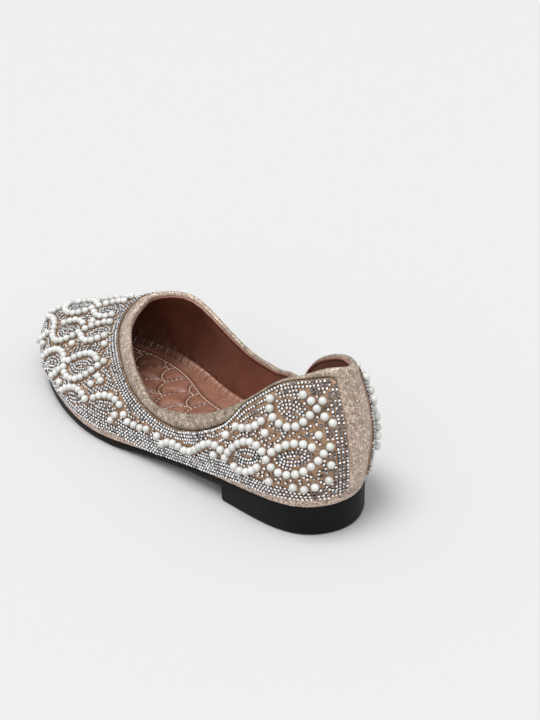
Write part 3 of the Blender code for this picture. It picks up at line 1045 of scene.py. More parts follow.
# Each braid: the knots where its strands cross, as (out, along, up) points near the surface;
# how far the strands swell apart; its first and last cell; and which strands it has.
VAMP_BRAIDS = {
    "outer_side": (
        ((38.5, -56, 14), (39.5, -31, 19), (36.5, -7, 24)),
        5.4, (0.06, 1.94), (1,)),
    "outer_slope": (
        ((25, -87, 15), (30, -60.5, 24), (28.5, -35.5, 32), (26, -14, 37)),
        7.6, (0.0, 2.4), BOTH),
    "ridge": (
        ((-1, -124, 9), (12.5, -92, 26), (12.5, -68, 33.5), (9.5, -46, 41)),
        7.6, (0.5, 2.9), BOTH),
    "crest": (
        ((-8, -119, 15), (-4, -102, 29), (-4, -78, 37), (-7, -54, 44)),
        7.4, (0.1, 2.9), BOTH),
    "inner_slope": (
        ((-21, -100, 18), (-22, -75, 36), (-23, -51, 46)),
        7.4, (0.05, 1.8), BOTH),
    "inner_side": (
        ((-33, -88, 16), (-37, -62, 29), (-36, -36, 38), (-37, -12, 33)),
        7.0, (0.05, 2.6), BOTH),
    "inner_foot": (
        ((-41, -74, 10), (-43, -48, 15), (-42, -22, 17), (-38, 2, 19)),
        5.4, (0.06, 2.94), (-1,)),
}
# The same for a quarter, as (round, up) places on the outer side.
QUARTER_KNOTS = ((-2.4, 33.3), (19.6, 28), (41.4, 23.4), (66.6, 17.3), (89, 12.8))
QUARTER_SWELL = 7.5
QUARTER_SPAN = (0.72, 3.08)


def strand(knots, swell, span, side, alone):
    """One strand of a braid, as (round, up) places.  It swings from side to side of the guide
    and crosses it at each knot, but a strand that is alone keeps to its own side."""
    guide = smooth_line(knots, steps=CELL_STEPS)
    cell = np.arange(len(guide)) / CELL_STEPS
    keep = (cell >= span[0]) & (cell <= span[1])
    guide, cell = guide[keep], cell[keep]
    wave = np.sin(math.pi * cell)
    shift = side * swell * np.sign(wave) * np.abs(wave) ** 0.75
    if alone:
        shift = np.abs(shift) * side
    around, up = find(guide)
    spot, _, _, over = frame_at(around, up)
    return np.column_stack(find(spot + over * shift[:, None]))


outer = np.array(QUARTER_KNOTS)
quarter_knots = {
    "outer_quarter": last.place(outer[:, 0], outer[:, 1]),
    "inner_quarter": last.place(-outer[:, 0], outer[:, 1]),
}
braids = {name: (knots, QUARTER_SWELL, QUARTER_SPAN, BOTH) for name, knots in quarter_knots.items()}
braids.update(VAMP_BRAIDS)
print("braids:", ", ".join(braids))

# %% [markdown]
# Other pearls run in short waves that don't cross, and a few sit alone between the braids, each
# in a ring of stones.  Those of the quarters are placed round and up; those of the vamp are
# given as points near the surface, because on the toe it is easier to think in space.

# %% Waves and single pearls
CROWN_EYE = (29.6, 47.3)  # a wider almond of stones under the band
CROWN_SIZE = (14.5, 8.6)  # its length and height
WAVES = {
    "under_crown": (
        (40, 50.8), (39.6, 45.8), (37, 41.8), (32, 39.8),
        (27, 41.3), (23.6, 45.3), (20, 49.3), (17.6, 52.8)),
    "over_crown": ((25, 55.3), (22, 52.8), (20, 49.3), (17.6, 46), (14.6, 42.8)),
    "high": ((61, 32.3), (55, 33.1), (50, 34.8), (45, 38.3), (41, 42.8)),
    "foot": ((30.2, 13), (26, 12.4), (22.2, 13.6)),
    "near_heel": (
        (71, 18.4), (76, 19.5), (81, 18.8), (86, 16.2), (90, 13.3),
        (96, 10.6), (103, 11.6), (109, 12), (114, 9.6)),
    "turn": ((69.6, 14.3), (76, 14.6)),
    "middle": (
        (126, 14.4), (130, 13.9), (134.5, 14.3), (139, 14.7),
        (142.7, 17.2), (145, 19.8), (148, 16.5), (150, 12.7)),
}
SINGLES = ((41.6, 34.6), (67.6, 26.5), (20, 37.6), (40.6, 13.1), (17, 16.6), (118.2, 12.8))
VAMP_SINGLES = (
    (18.6, -93.4, 19.7), (20.7, -66, 30), (18, -42.4, 37.6), (35, -58.2, 17.7),
    (34.8, -32.6, 26.3), (4, -101, 26), (5.6, -68, 36.6), (4, -84, 33),
    (-14, -90, 31), (-14, -66, 41), (-30, -76, 30), (-30, -50, 42),
    (-40, -61, 22), (-40, -36, 27), (-39, -10, 27),
)


def ring_line(centre, length, height, turn):
    """A ring a little pointed at both ends, as an eye is."""
    angle = np.radians(np.arange(0, 360, 10))
    p = length / 2 * np.cos(angle)
    q = height / 2 * np.sin(angle) * (1 - 0.12 * np.cos(angle) ** 2)
    return around_centre(centre, np.column_stack([p, q]), turn)


def mirrored(places):
    """The same places on the inner side."""
    places = np.array(places, float)
    places[:, 0] = last.girth - places[:, 0]
    return places


print("waves:", ", ".join(WAVES), "and singles:", len(SINGLES) + len(VAMP_SINGLES))

# %% [markdown]
# A beader sees at once where a bead no longer fits.  The script keeps a list of beads for that:
# a new one is taken only where it is far enough from those already sewn and from the edges.

# %% Beads already sewn
PEARL_SINK = 0.25  # how deep a pearl sits in the cloth
PEARL_OUT = PANEL_FACE + PEARL / 2 - PEARL_SINK  # a pearl's middle, out from the last


class Beads:
    """Places already taken, with their points in space."""

    def __init__(self, out):
        self.out, self.places, self.spots = out, np.empty((0, 2)), np.empty((0, 3))

    def add(self, places, apart, inside=None, others=(), away=0.0):
        """Takes each place in turn that is clear of the beads before it and of the others."""
        places = np.atleast_2d(places)
        spots = last.place(places[:, 0], places[:, 1], self.out)
        ok = np.ones(len(places), bool) if inside is None else inside(places)
        for other in others:
            if len(other.spots):
                level = last.place(places[:, 0], places[:, 1], other.out)
                gap = np.linalg.norm(level[:, None] - other.spots[None], axis=2).min(axis=1)
                ok &= gap > away
        for place, spot in zip(places[ok], spots[ok]):
            if not len(self.spots) or np.linalg.norm(self.spots - spot, axis=1).min() > apart:
                self.places = np.vstack([self.places, place])
                self.spots = np.vstack([self.spots, spot])


def panel_margin(places):
    """Distances of each place to the panel's hem edge, band edge and nearer end."""
    around, up = places[:, 0], places[:, 1]
    _, hem, edge, _ = levels_at(around)
    climb = np.clip((up - hem) / (edge - hem), 0, 1)
    return up - hem, edge - up, np.abs(from_back(around)) - strip_half(climb)


def pearl_room(places):
    """Where the stones along the edges leave room for a pearl."""
    hem, band, end = panel_margin(places)
    return (hem > 4.0) & (band > 5.8) & (end > 5.6)


def on_panel(places):
    """Where a pearl at least stays whole on the cloth."""
    return np.min(panel_margin(places), axis=0) > PEARL / 2


tried = np.array([[75.0, 4.0], [75.0, 16.0]])
print("room for a pearl low down and half way up at the waist:", pearl_room(tried))

# %% [markdown]
# The braids are threaded first, because everything else gives way to them.  The middle of each
# cell is kept as an eye, with its size and its turn, for the almond of stones that fills it.

# %% Threading the braids
BRAID_APART = 3.85  # the least distance between two pearls of a braid
QUARTER_EYE_ROOM, VAMP_EYE_ROOM = 6.6, 8.4  # how much shorter an almond is than its cell
EYE_ROOM_ACROSS = 5.4  # and how much narrower


def eyes_of(name, knots, swell, span, sides):
    """Centre, length, height and turn of the almond in each cell of a braid."""
    guide = smooth_line(knots, steps=CELL_STEPS)
    room = QUARTER_EYE_ROOM if name in quarter_knots else VAMP_EYE_ROOM
    found = []
    for cell in range(len(knots) - 1):
        if not span[0] < cell + 0.45 < span[1]:
            continue
        middle = np.array(find(guide[cell * CELL_STEPS + CELL_STEPS // 2])).ravel()
        _, _, heelward, over = frame_at(middle[:1], middle[1:])
        ahead = knots[cell + 1] - knots[cell]
        turn = math.degrees(math.atan2(ahead @ over[0], ahead @ heelward[0]))
        if len(sides) == 1:
            middle = walk(middle, sides[0])
        length = np.linalg.norm(ahead) - room
        found.append((tuple(middle), length, 2 * swell - EYE_ROOM_ACROSS, turn))
    return found


pearls = Beads(PEARL_OUT)
eyes = []
for name, (knots, swell, span, sides) in braids.items():
    knots = np.array(knots, float)
    small = 1 if name in quarter_knots else SMALL_PEARL
    for side in sides:
        line = strand(knots, swell, span, side, len(sides) == 1)
        pearls.add(thread(line, PEARL_PITCH * small, PEARL_OUT), BRAID_APART * small, pearl_room)
    eyes += eyes_of(name, knots, swell, span, sides)
print("pearls in braids:", len(pearls.places), "cells:", len(eyes))

# %% [markdown]
# Waves and single pearls follow.  Those of the outer side are mirrored to the inner side, and
# there they are left out where the panel is lower and a pearl would hang over its edge.

# %% Threading the waves and the single pearls
WAVE_APART = 3.7
SINGLE_APART, VAMP_SINGLE_APART = 4.0, 6.0
SINGLE_CLEAR = 4.2  # from the pearls of the braids

for points in WAVES.values():
    wave = thread(smooth_line(points), PEARL_PITCH, PEARL_OUT)
    pearls.add(wave, WAVE_APART)
    pearls.add(mirrored(wave), WAVE_APART, on_panel)
print("and with the waves:", len(pearls.places))

singles = Beads(PEARL_OUT)
singles.add(np.array(SINGLES, float), SINGLE_APART)
singles.add(mirrored(SINGLES), SINGLE_APART, on_panel)
vamp_places = np.column_stack(find(np.array(VAMP_SINGLES, float)))
singles.add(vamp_places, VAMP_SINGLE_APART, pearl_room, (pearls,), SINGLE_CLEAR)
print("single pearls:", len(singles.places))

# %% [markdown]
# Stones fill the rest in the order a beader would take: the almonds inside the eyes, the rows
# along the band, the columns down both ends, then short slanting columns up from the hem, and
# last the gaps.  Round each pearl a little bare cloth is left.

# %% The almonds
STONE_OUT = PANEL_FACE
STONE_GAP = 1.54  # the least distance between two stones
ALMOND_GAP = 1.45  # rings of stones inside each other may press closer
PEARL_CLEAR = 2.9  # a stone tucks in a little under a pearl
ALMOND_CLEAR = PEARL_CLEAR - 0.25  # and an almond's stones a little more
RING_SHORTER, RING_LOWER = 3.5, 3.4  # from one ring of an almond to the next inside it


def stone_room(places):
    """Where a stone stays whole on the cloth, its rounded corners included."""
    hem, band, end = panel_margin(places)
    rounded = np.hypot(np.maximum(CORNER - end, 0), np.maximum(CORNER - np.minimum(hem, band), 0))
    return (hem > 0.85) & (band > 0.8) & (end > 0.9) & (rounded < CORNER - 0.8)


stones = Beads(STONE_OUT)
all_pearls = (pearls, singles)


def set_stones(places, clear=PEARL_CLEAR, apart=STONE_GAP):
    """Sets each stone that has room."""
    stones.add(places, apart, stone_room, all_pearls, clear)


def almond(centre, length, height, turn):
    """Rings of stones inside each other, down to a short row in the middle."""
    places = []
    while length > 1.0:
        if height > 1.5:
            places.append(thread(ring_line(centre, length, height, turn), STONE_PITCH, STONE_OUT, True))
        else:
            row = around_centre(centre, [(-length / 2, 0), (length / 2, 0)], turn)
            places.append(thread(row, STONE_PITCH, STONE_OUT))
            break
        length, height = length - RING_SHORTER, height - RING_LOWER
    return np.vstack(places)


for centre, length, height, turn in eyes:
    set_stones(almond(centre, length, height, turn), ALMOND_CLEAR, ALMOND_GAP)
for centre in (CROWN_EYE, (last.girth - CROWN_EYE[0], CROWN_EYE[1])):
    set_stones(almond(centre, *CROWN_SIZE, 0), ALMOND_CLEAR, ALMOND_GAP)
print("stones in almonds:", len(stones.places))

# %% [markdown]
# Along the band the stones lie in rows, and beside the bare strip in columns that follow the
# panel's end.  The rows are threaded along the band's edge, so they rise and fall with it.

# %% Rows along the edges
EDGE_ROWS = 5
FULL_ROWS = 4  # so many rows go all the way round; the others only reach the quarters
QUARTER_REACH = 80  # from the back

whole = np.arange(0, last.girth, 1.0)
climb = np.linspace(0, 1, 60)
for row in range(EDGE_ROWS):
    up = levels_at(whole)[2] - 1.0 - row * STONE_PITCH
    line = thread(np.column_stack([whole, up]), STONE_PITCH, STONE_OUT, True)
    set_stones(line[(row < FULL_ROWS) | (np.abs(from_back(line[:, 0])) < QUARTER_REACH)])
    for side in (-1, 1):
        around = (side * (strip_half(climb) + 1.1 + row * STONE_PITCH)) % last.girth
        _, hem, edge, _ = levels_at(around)
        column = np.column_stack([around, hem + (edge - hem) * climb])
        set_stones(thread(column, STONE_PITCH, STONE_OUT))
print("and with rows along the edges:", len(stones.places))

# %% [markdown]
# From the hem short columns slant up and forwards, side by side, until they meet a pearl or
# another stone.  On the quarters they stop after a few stones, because the braid is close.

# %% Columns up from the hem
HEM_COLUMN, HEM_STEP = 1.78, 1.62  # from column to column, and from stone to stone in one
HEM_LEAN = 0.35  # forwards for each millimetre up
HEM_ROWS, QUARTER_ROWS = 35, 4
QUARTER_END = 66  # from the back

columns = np.arange(0, last.girth, HEM_COLUMN)
for row in range(HEM_ROWS):
    rise = 1.0 + row * HEM_STEP
    around = (columns + HEM_LEAN * rise * np.sign(from_back(columns))) % last.girth
    wanted = (np.abs(from_back(around)) >= QUARTER_END) | (row < QUARTER_ROWS)
    set_stones(np.column_stack([around, levels_at(around)[1] + rise])[wanted])
print("and with the columns:", len(stones.places))

# %% [markdown]
# What is still bare is filled one stone at a time, at places drawn at random and kept only where
# there is room.  Last come the places close round each single pearl that are still free.

# %% Filling the gaps
TRIES = 7000  # in each of three rounds
FAN = np.radians((20, 75, 130, 200, 290))  # directions round a single pearl
FAN_REACH = 3.5
FAN_CLEAR = PEARL_CLEAR - 0.1

draw = np.random.default_rng(11)
for _ in range(3):
    around = draw.uniform(0, last.girth, TRIES)
    _, hem, edge, _ = levels_at(around)
    set_stones(np.column_stack([around, hem + draw.uniform(0, 1, TRIES) * (edge - hem)]))
print("with the gaps filled:", len(stones.places))

for place in singles.places:
    fan = FAN_REACH * np.column_stack([np.cos(FAN), np.sin(FAN)])
    set_stones(around_centre(place, fan), FAN_CLEAR)
print("and round the single pearls:", len(stones.places))

# %% [markdown]
# Beads are repeated by the hundred, so each template is simple: a pearl has eighty faces, and a
# cut stone has a dark cup, a ring of slanting facets and a flat table.  Every place becomes a
# loose vertex that carries its own turn, size and tone.  A Geometry Nodes group then puts the
# template on each vertex, and its result is kept as a plain mesh.


# %% The node group that puts a template on every place
def scatter_group(name, pattern):
    """Instance on Points and Realize Instances, with the turn and size read from each point."""
    group = bpy.data.node_groups.new(name, "GeometryNodeTree")
    for way in ("INPUT", "OUTPUT"):
        group.interface.new_socket("Geometry", in_out=way, socket_type="NodeSocketGeometry")
    node, link = group.nodes.new, group.links.new
    start, end = node("NodeGroupInput"), node("NodeGroupOutput")
    put = node("GeometryNodeInstanceOnPoints")
    real = node("GeometryNodeRealizeInstances")
    shape = node("GeometryNodeObjectInfo")
    shape.inputs["Object"].default_value = pattern
    link(start.outputs[0], put.inputs["Points"])
    link(shape.outputs["Geometry"], put.inputs["Instance"])
    for attribute, kind, socket in (("turn", "FLOAT_VECTOR", "Rotation"), ("size", "FLOAT", "Scale")):
        reader = node("GeometryNodeInputNamedAttribute")
        reader.data_type = kind
        reader.inputs["Name"].default_value = attribute
        link(reader.outputs["Attribute"], put.inputs[socket])
    link(put.outputs["Instances"], real.inputs[0])
    link(real.outputs[0], end.inputs[0])
    return group


def template_mesh(name, mesh):
    """A closed bmesh as a mesh whose faces look outwards.  They are sorted by their vertices,
    because extruding leaves faces in another order on each run."""
    bmesh.ops.recalc_face_normals(mesh, faces=mesh.faces)
    mesh.verts.index_update()
    count = len(mesh.verts)

    def rank(face):
        first, second, third = sorted(vert.index for vert in face.verts)[:3]
        return (first * count + second) * count + third

    mesh.faces.sort(key=rank)
    return finished(name, mesh)


# %% [markdown]
# A turn is three directions at right angles: the template's Z goes along the surface's normal
# and its X as near as it can to the direction given as aheads.


# %% Scattering a template
def turns_to(normals, aheads):
    """Euler angles that stand a template on the surface."""
    across = unit(np.cross(normals, aheads))
    turns = []
    for axes in zip(np.cross(across, normals), across, normals):
        turns.append(tuple(Matrix(axes).transposed().to_euler()))
    return turns


def scatter(name, template, spots, normals, aheads, sizes, tones, finish, smooth=True):
    """One copy of the template at each spot, as one dressed piece."""
    points = bmesh.new()
    for spot in spots:
        points.verts.new(spot * MM)
    seeds = finished(name, points)
    turn = seeds.attributes.new("turn", "FLOAT_VECTOR", "POINT")
    turn.data.foreach_set("vector", np.array(turns_to(normals, aheads), np.float32).ravel())
    for label, values in (("size", sizes), ("tone", tones)):
        numbers = seeds.attributes.new(label, "FLOAT", "POINT")
        numbers.data.foreach_set("value", np.array(values, np.float32))

    pattern = bpy.data.objects.new(name + "_template", template)
    carrier = placed(name + "_places", seeds)
    carrier.modifiers.new("Scatter", "NODES").node_group = scatter_group(name, pattern)
    evaluated = carrier.evaluated_get(bpy.context.evaluated_depsgraph_get())
    data = bpy.data.meshes.new_from_object(evaluated)
    bpy.data.objects.remove(carrier)
    bpy.data.objects.remove(pattern)
    print(f"{name}: {len(spots)} copies of {len(template.polygons)} faces")
    return dress(name, data, finish, (), smooth)


# %% [markdown]
# A pearl bead is glass with a white lacquer under a hard gloss.  In a soft light its crown is
# almost white and its flanks turn warm and dim, because they see the cloth and each other.  That
# shade is painted into the colour from the direction that each point faces, darker where it faces
# down, so it doesn't depend on where one stands.

# %% The pearls' finish
pearl_glaze = Finish("pearl_glaze", {
    "IOR": 1.55,
    "Coat Roughness": 0.06,
    "Coat Weight": 1.0,
    "Roughness": 0.25,
    "Specular IOR Level": 0.6,
})
tone = pearl_glaze.attribute("tone")
lacquer = pearl_glaze.ramp(tone, [
    (0.0, screen(228, 228, 225)),
    (0.5, screen(240, 241, 238)),
    (1.0, screen(248, 249, 247)),
])
# Painted shade: the colour darkens where the surface faces down.
facing = pearl_glaze.node("ShaderNodeNewGeometry", output="Normal")
faces_up = pearl_glaze.node("ShaderNodeSeparateXYZ", {}, {0: facing}, "Z")
depth = pearl_glaze.ramp(faces_up * 0.5 + 0.5, [
    (0.3, (0.6, 0.58, 0.54, 1)),
    (0.6, (0.86, 0.86, 0.85, 1)),
    (0.85, WHITE),
])
pearl_glaze.feed({"Base Color": pearl_glaze.mix(1.0, lacquer, depth, "MULTIPLY")})

# %% [markdown]
# A cut stone flashes because each facet sends back another part of the room.  At this size a
# render can't show that by reflection alone, so every slanting facet gets a painted reflection, its
# own brightness drawn from the stone's tone and the facet's number.  Most are dark and a few almost
# white, while most of the flat tables are bright.  The same colours also glow a little, as painted light.

# %% The stones' finish
stone_glitter = Finish("cut_stone", {
    "IOR": 1.6,
    "Metallic": 0.6,
    "Coat Weight": 0.6,
    "Coat Roughness": 0.03,
    # A faint glow of the facets' colours: painted light.
    "Emission Strength": 0.22,
})
tone = stone_glitter.attribute("tone")
facet = stone_glitter.attribute("facet")
own = {"W": tone * 91.7 + facet * 13.3}
draw_one = stone_glitter.node("ShaderNodeTexWhiteNoise", {"noise_dimensions": "1D"}, own)
cup, slanting = facet > 0.9, facet > 0.05
table = stone_glitter.ramp(tone, [
    (0.0, (0.1, 0.1, 0.11, 1)),
    (0.1, (0.3, 0.3, 0.31, 1)),
    (0.2, (0.9, 0.9, 0.92, 1)),
    (1.0, WHITE),
])
sides = stone_glitter.ramp(draw_one, [
    (0.0, (0.02, 0.017, 0.015, 1)),
    (0.45, (0.1, 0.09, 0.085, 1)),
    (0.65, (0.35, 0.34, 0.34, 1)),
    (0.8, (0.85, 0.85, 0.87, 1)),
])
painted_reflections = stone_glitter.mix(slanting, table, sides)
stone_glitter.feed({
    "Base Color": stone_glitter.mix(cup, painted_reflections, (0.07, 0.055, 0.045, 1)),
    "Roughness": 0.12 + 0.15 * draw_one,
    # The painted reflections glow a little: painted light, as a stone is no lamp.
    "Emission Color": stone_glitter.mix(cup, painted_reflections, BLACK),
})

# %% [markdown]
# The pearls differ a little in size, in tone and in how deep they are sewn, and those of the
# vamp are one size smaller.

# %% The pearls
VAMP_START = 115  # from the back

mesh = bmesh.new()
bmesh.ops.create_icosphere(mesh, subdivisions=2, radius=PEARL / 2 * MM)
pearl_template = template_mesh("pearl", mesh)
draw = np.random.default_rng(20)
places = np.vstack([pearls.places, singles.places])
count = len(places)
small = np.where(np.abs(from_back(places[:, 0])) > VAMP_START, SMALL_PEARL, 1.0)
spots = last.place(places[:, 0], places[:, 1], PEARL_OUT * small + draw.uniform(-0.12, 0.12, count))
normals = last.facing(places[:, 0], places[:, 1])
aheads = draw.normal(0, 1, (count, 3))
sizes, tones = small * draw.uniform(0.97, 1.02, count), draw.uniform(0, 1, count)
scatter("pearls", pearl_template, spots, normals, aheads, sizes, tones, pearl_glaze)

# %% [markdown]
# The stone's template starts as a circle of eight edges.  Its rim is extruded and drawn in for
# the cup, and again for the facets, whose upper ring is turned by half a facet.  Two caps close
# it.  Each face carries a number, so that the finish can tell table, facets and cup apart.


# %% The template of a cut stone
SIDES = 8
CUP_HEIGHT, FACET_HEIGHT = 0.36, 0.46


def lift_ring(mesh, edges, rise, narrow):
    """Extrudes a ring of edges upwards and draws it in.  Returns its vertices and edges."""
    ring = bmesh.ops.extrude_edge_only(mesh, edges=edges)["geom"]
    verts = [item for item in ring if isinstance(item, bmesh.types.BMVert)]
    bmesh.ops.translate(mesh, verts=verts, vec=(0, 0, rise * MM))
    bmesh.ops.scale(mesh, verts=verts, vec=(narrow, narrow, 1))
    return verts, [item for item in ring if isinstance(item, bmesh.types.BMEdge)]


def cap(mesh, verts):
    """Closes the ring of these vertices with one face."""
    ring = [edge for edge in mesh.edges if all(vert in verts for vert in edge.verts)]
    bmesh.ops.contextual_create(mesh, geom=ring)


def cut_stone():
    """A stone in its cup, standing on the origin, with a facet number on each face."""
    mesh = bmesh.new()
    radius = STONE / 2 * MM
    base = bmesh.ops.create_circle(mesh, segments=SIDES, radius=radius * 1.03, cap_ends=False)["verts"]
    _, rim = lift_ring(mesh, list(mesh.edges), CUP_HEIGHT, 0.84)
    top, _ = lift_ring(mesh, rim, FACET_HEIGHT, 0.7)
    half_turn = Matrix.Rotation(math.pi / SIDES, 3, "Z")
    bmesh.ops.rotate(mesh, verts=top, cent=(0, 0, 0), matrix=half_turn)
    cap(mesh, top)
    cap(mesh, base)
    slanting = []
    for face in mesh.faces:
        if len(face.verts) == 4 and face.calc_center_median().z > 0.4 * MM:
            slanting.append(face)
    bmesh.ops.triangulate(mesh, faces=slanting)

    data = template_mesh("stone", mesh)
    marks = []
    draw = np.random.default_rng(4)
    for face in data.polygons:
        if face.center.z < 0.3 * MM:
            marks.append(1.0)
        elif len(face.vertices) == SIDES:
            marks.append(0.0)
        else:
            marks.append(draw.uniform(0.1, 0.85))
    data.attributes.new("facet", "FLOAT", "FACE").data.foreach_set("value", marks)
    return data


stone_template = cut_stone()
print("faces of one stone:", len(stone_template.polygons))

# %% [markdown]
# No stone sits quite straight on the cloth.  The small random tilt of each one is what breaks
# the rows up into single sparks.

# %% The stones
draw = np.random.default_rng(21)
places = stones.places
count = len(places)
spots = last.place(places[:, 0], places[:, 1], STONE_OUT + draw.uniform(-0.08, 0.1, count))
normals = unit(last.facing(places[:, 0], places[:, 1]) + draw.normal(0, 0.09, (count, 3)))
aheads = draw.normal(0, 1, (count, 3))
sizes, tones = draw.uniform(0.93, 1.05, count), draw.uniform(0, 1, count)
tones[np.abs(from_back(places[:, 0])) < 24] **= 2.4  # beside the strip more of them are gunmetal
scatter("stones", stone_template, spots, normals, aheads, sizes, tones, stone_glitter, False)

# %% [markdown]
# ## Inside the feather line
#
# The sock and the sole are both flat pieces whose outline is the feather line, moved in or out.
# Their faces are filled as a sail is cut: four edges, the heel's round, the toe's round and the
# two sides, are blended across the middle.  Points straight across the shoe from each other
# share their place along it, so that a step across the sole comes out straight.


# %% Filling an outline
def edge_line(around, out, rise=0.0):
    """The feather line moved outwards and up, in millimetres."""
    place = np.asarray(around, float) % last.girth / last.girth * Last.COLUMNS
    i = np.floor(place).astype(int) % Last.COLUMNS
    k, s = (i + 1) % Last.COLUMNS, (place - np.floor(place))[..., None]
    foot = last.foot[i] * (1 - s) + last.foot[k] * s
    outward = unit(last.outward[i] * (1 - s) + last.outward[k] * s)
    out, rise = np.asarray(out, float)[..., None], np.asarray(rise, float)[..., None]
    return foot + outward * out + [0, 0, 1.0] * rise


class Outline:
    """The feather line moved by out, read by how far along the shoe a place is."""

    SAMPLES = 800  # on each side

    def __init__(self, out, heel, toe):
        self.heel, self.toe = heel, toe
        self.places = {}
        for side, end in (("outer", last.toe), ("inner", last.toe - last.girth)):
            around = np.linspace(0, end, self.SAMPLES)
            self.places[side] = (-edge_line(around, np.full(self.SAMPLES, out))[:, 1], around)

    def around(self, side, along):
        """Distance round the shoe at which one side is that far along."""
        depth, around = self.places[side]
        return np.interp(-along, depth, around)

    def edges(self, s, along):
        """around of the four edges: s runs from inner side to outer, along from heel to toe."""
        heel_in, heel_out = self.around("inner", self.heel), self.around("outer", self.heel)
        toe_in, toe_out = self.around("inner", self.toe), self.around("outer", self.toe)
        heel = heel_in + (heel_out - heel_in) * s
        toe = toe_out + (toe_in + last.girth - toe_out) * (1 - s)
        return heel, toe, self.around("inner", along), self.around("outer", along)

    def fill(self, s, along, edge):
        """Places inside, where edge(around) gives points on the rim."""
        t = ((self.heel - along) / (self.heel - self.toe))[:, None]
        heel, toe, inner, outer = (edge(around) for around in self.edges(s, along))
        s = s[:, None]
        ends = []
        for at in (self.heel, self.toe):
            inner_end = edge(self.around("inner", np.array([at])))[0]
            outer_end = edge(self.around("outer", np.array([at])))[0]
            ends.append(inner_end * (1 - s) + outer_end * s)
        corners = ends[0] * (1 - t) + ends[1] * t
        return heel * (1 - t) + toe * t + inner * (1 - s) + outer * s - corners


print("toe tip of the feather line:", np.round(edge_line(last.toe, 0.0), 1))

# %% [markdown]
# ## The quilted sock
#
# The sock is thin rosy leather over foam, sewn down in rows of scales whose rounds point to the
# toe, inside a stitched border.  The seams are drawn first, flat, as lines in the plane of the
# sock: the border as one closed line, and each scale as half an oval, cut off at the border.

# %% Where the sock is sewn
SOCK_RISE = 3.2  # its face above the feather line
SOCK_DISH = 0.8  # how much deeper it lies along its middle
SOCK_OUT = -7.0  # edge of the flat part, under the ruched roll
SCALE_HALF, SCALE_ROW = 11.5, 10.9  # half a scale's width, and from row to row
FIRST_CROWN = -10.2  # along the shoe
SCALE_ROUND = 0.95 * SCALE_ROW  # how far a scale reaches along the shoe
SEAM_STEP = 0.4  # between two points of a seam
STITCH = 2.5  # from one stitch to the next


def border_inset(along):
    """How far inside the feather line the quilting stops: further in at the waist and heel."""
    return 11.5 + 3.5 * step_up(along, -35, 5)


def in_plane(points):
    """The same points at height nought."""
    return np.column_stack([points[:, 0], points[:, 1], np.zeros(len(points))])


def seam_lines():
    """Each seam of the quilting as a line of (out, along) points, in millimetres."""
    around = np.linspace(0, last.girth, 1200, endpoint=False)
    border = edge_line(around, -border_inset(edge_line(around, 0 * around)[:, 1]))[:, :2]
    lines = [np.vstack([border, border[:1]])]
    rim = tree_of(in_plane(edge_line(around, 0 * around)))
    angle = np.radians(np.linspace(-90, 90, 91))
    for row in range(-10, 10):
        crown = FIRST_CROWN + row * SCALE_ROW
        for column in range(-4, 5):
            middle = (column * 2 + (0 if row % 2 else 1)) * SCALE_HALF - 2 * SCALE_HALF
            across = middle + SCALE_HALF * np.sin(angle)
            arc = np.column_stack([across, crown + SCALE_ROUND * (1 - np.cos(angle))])
            _, inset = nearest(rim, in_plane(arc))
            arc = arc[(inset > border_inset(arc[:, 1])) & inside_outline(arc, border)]
            if len(arc) > 8:
                lines.append(arc)
    return lines


def inside_outline(points, outline):
    """Whether each flat point is inside a closed outline, by counting crossings."""
    x, y = points.T
    x1, y1 = outline.T
    x2, y2 = np.roll(outline, -1, axis=0).T
    spans = (y1[:, None] > y) != (y2[:, None] > y)
    rise = np.where(np.abs(y2 - y1) < 1e-9, 1e-9, y2 - y1)
    cross = x1[:, None] + (y - y1[:, None]) * ((x2 - x1) / rise)[:, None] > x
    return np.sum(spans & cross, axis=0) % 2 == 1


def even_points(line, step):
    """Points at an even step along a line in the plane or in space."""
    run = np.concatenate([[0], np.cumsum(np.linalg.norm(np.diff(line, axis=0), axis=1))])
    at = np.arange(0, run[-1], step)
    return np.column_stack([np.interp(at, run, line[:, axis]) for axis in range(line.shape[1])])


seams = seam_lines()
print("seams:", len(seams), "longest", round(max(len(seam) for seam in seams)))

# %% [markdown]
# The sock's outline is filled with a grid of about a millimetre.  Every point of the grid then
# looks up its distance to the nearest seam, which is all that the quilting needs to know.

# %% The flat sock and its distance to the seams
SOCK_COLUMNS, SOCK_ROWS = 112, 340
HEEL_ROUND, TOE_ROUND = 92.0, -88.0  # along the shoe, where the sides turn into the ends
sock_outline = Outline(SOCK_OUT, HEEL_ROUND, TOE_ROUND)


def sock_edge(around):
    """The rim of the flat sock."""
    return edge_line(around, np.full(np.shape(around), SOCK_OUT), np.full(np.shape(around), SOCK_RISE))


def sock_place(s, t):
    """A place on the flat sock, which is dished a little along its middle."""
    along = HEEL_ROUND + (TOE_ROUND - HEEL_ROUND) * t
    spots = sock_outline.fill(s, along, sock_edge)
    spots[:, 2] -= SOCK_DISH * 4 * s * (1 - s) * np.minimum(1, 8 * t * (1 - t))
    return spots


seam_tree = tree_of(in_plane(np.vstack([even_points(seam, SEAM_STEP) for seam in seams])))
sewn = bmesh.new()
laid_grid(sewn, SOCK_COLUMNS, SOCK_ROWS, sock_place)
flat = np.array([tuple(vert.co) for vert in sewn.verts]) / MM
seam_point, to_seam = nearest(seam_tree, in_plane(flat))
on_edge = np.array([vert.is_boundary for vert in sewn.verts])
print(f"sock: {len(flat)} points, {np.mean(to_seam < 0.5):.0%} of them on a seam")

# %% [markdown]
# Between the seams the leather stands up by a little over a millimetre and a half.  That form
# is drawn from the distance to the nearest seam, with small puckers at the stitches.  Cloth
# then adds what is hard to draw: held along the seams, blown up a little and with some slack, it
# creases by itself.  It works ten times larger than life, where its defaults behave, and a cap
# keeps every point near its drawn place.

# %% Pockets and their creases
PUFF = 1.7  # the highest a pocket stands
BLOW_UP = 10.0  # times larger than life, for the simulation
SETTLED = 10  # frames
MOST_CREASE = 0.35  # the furthest a point may move from its drawn place

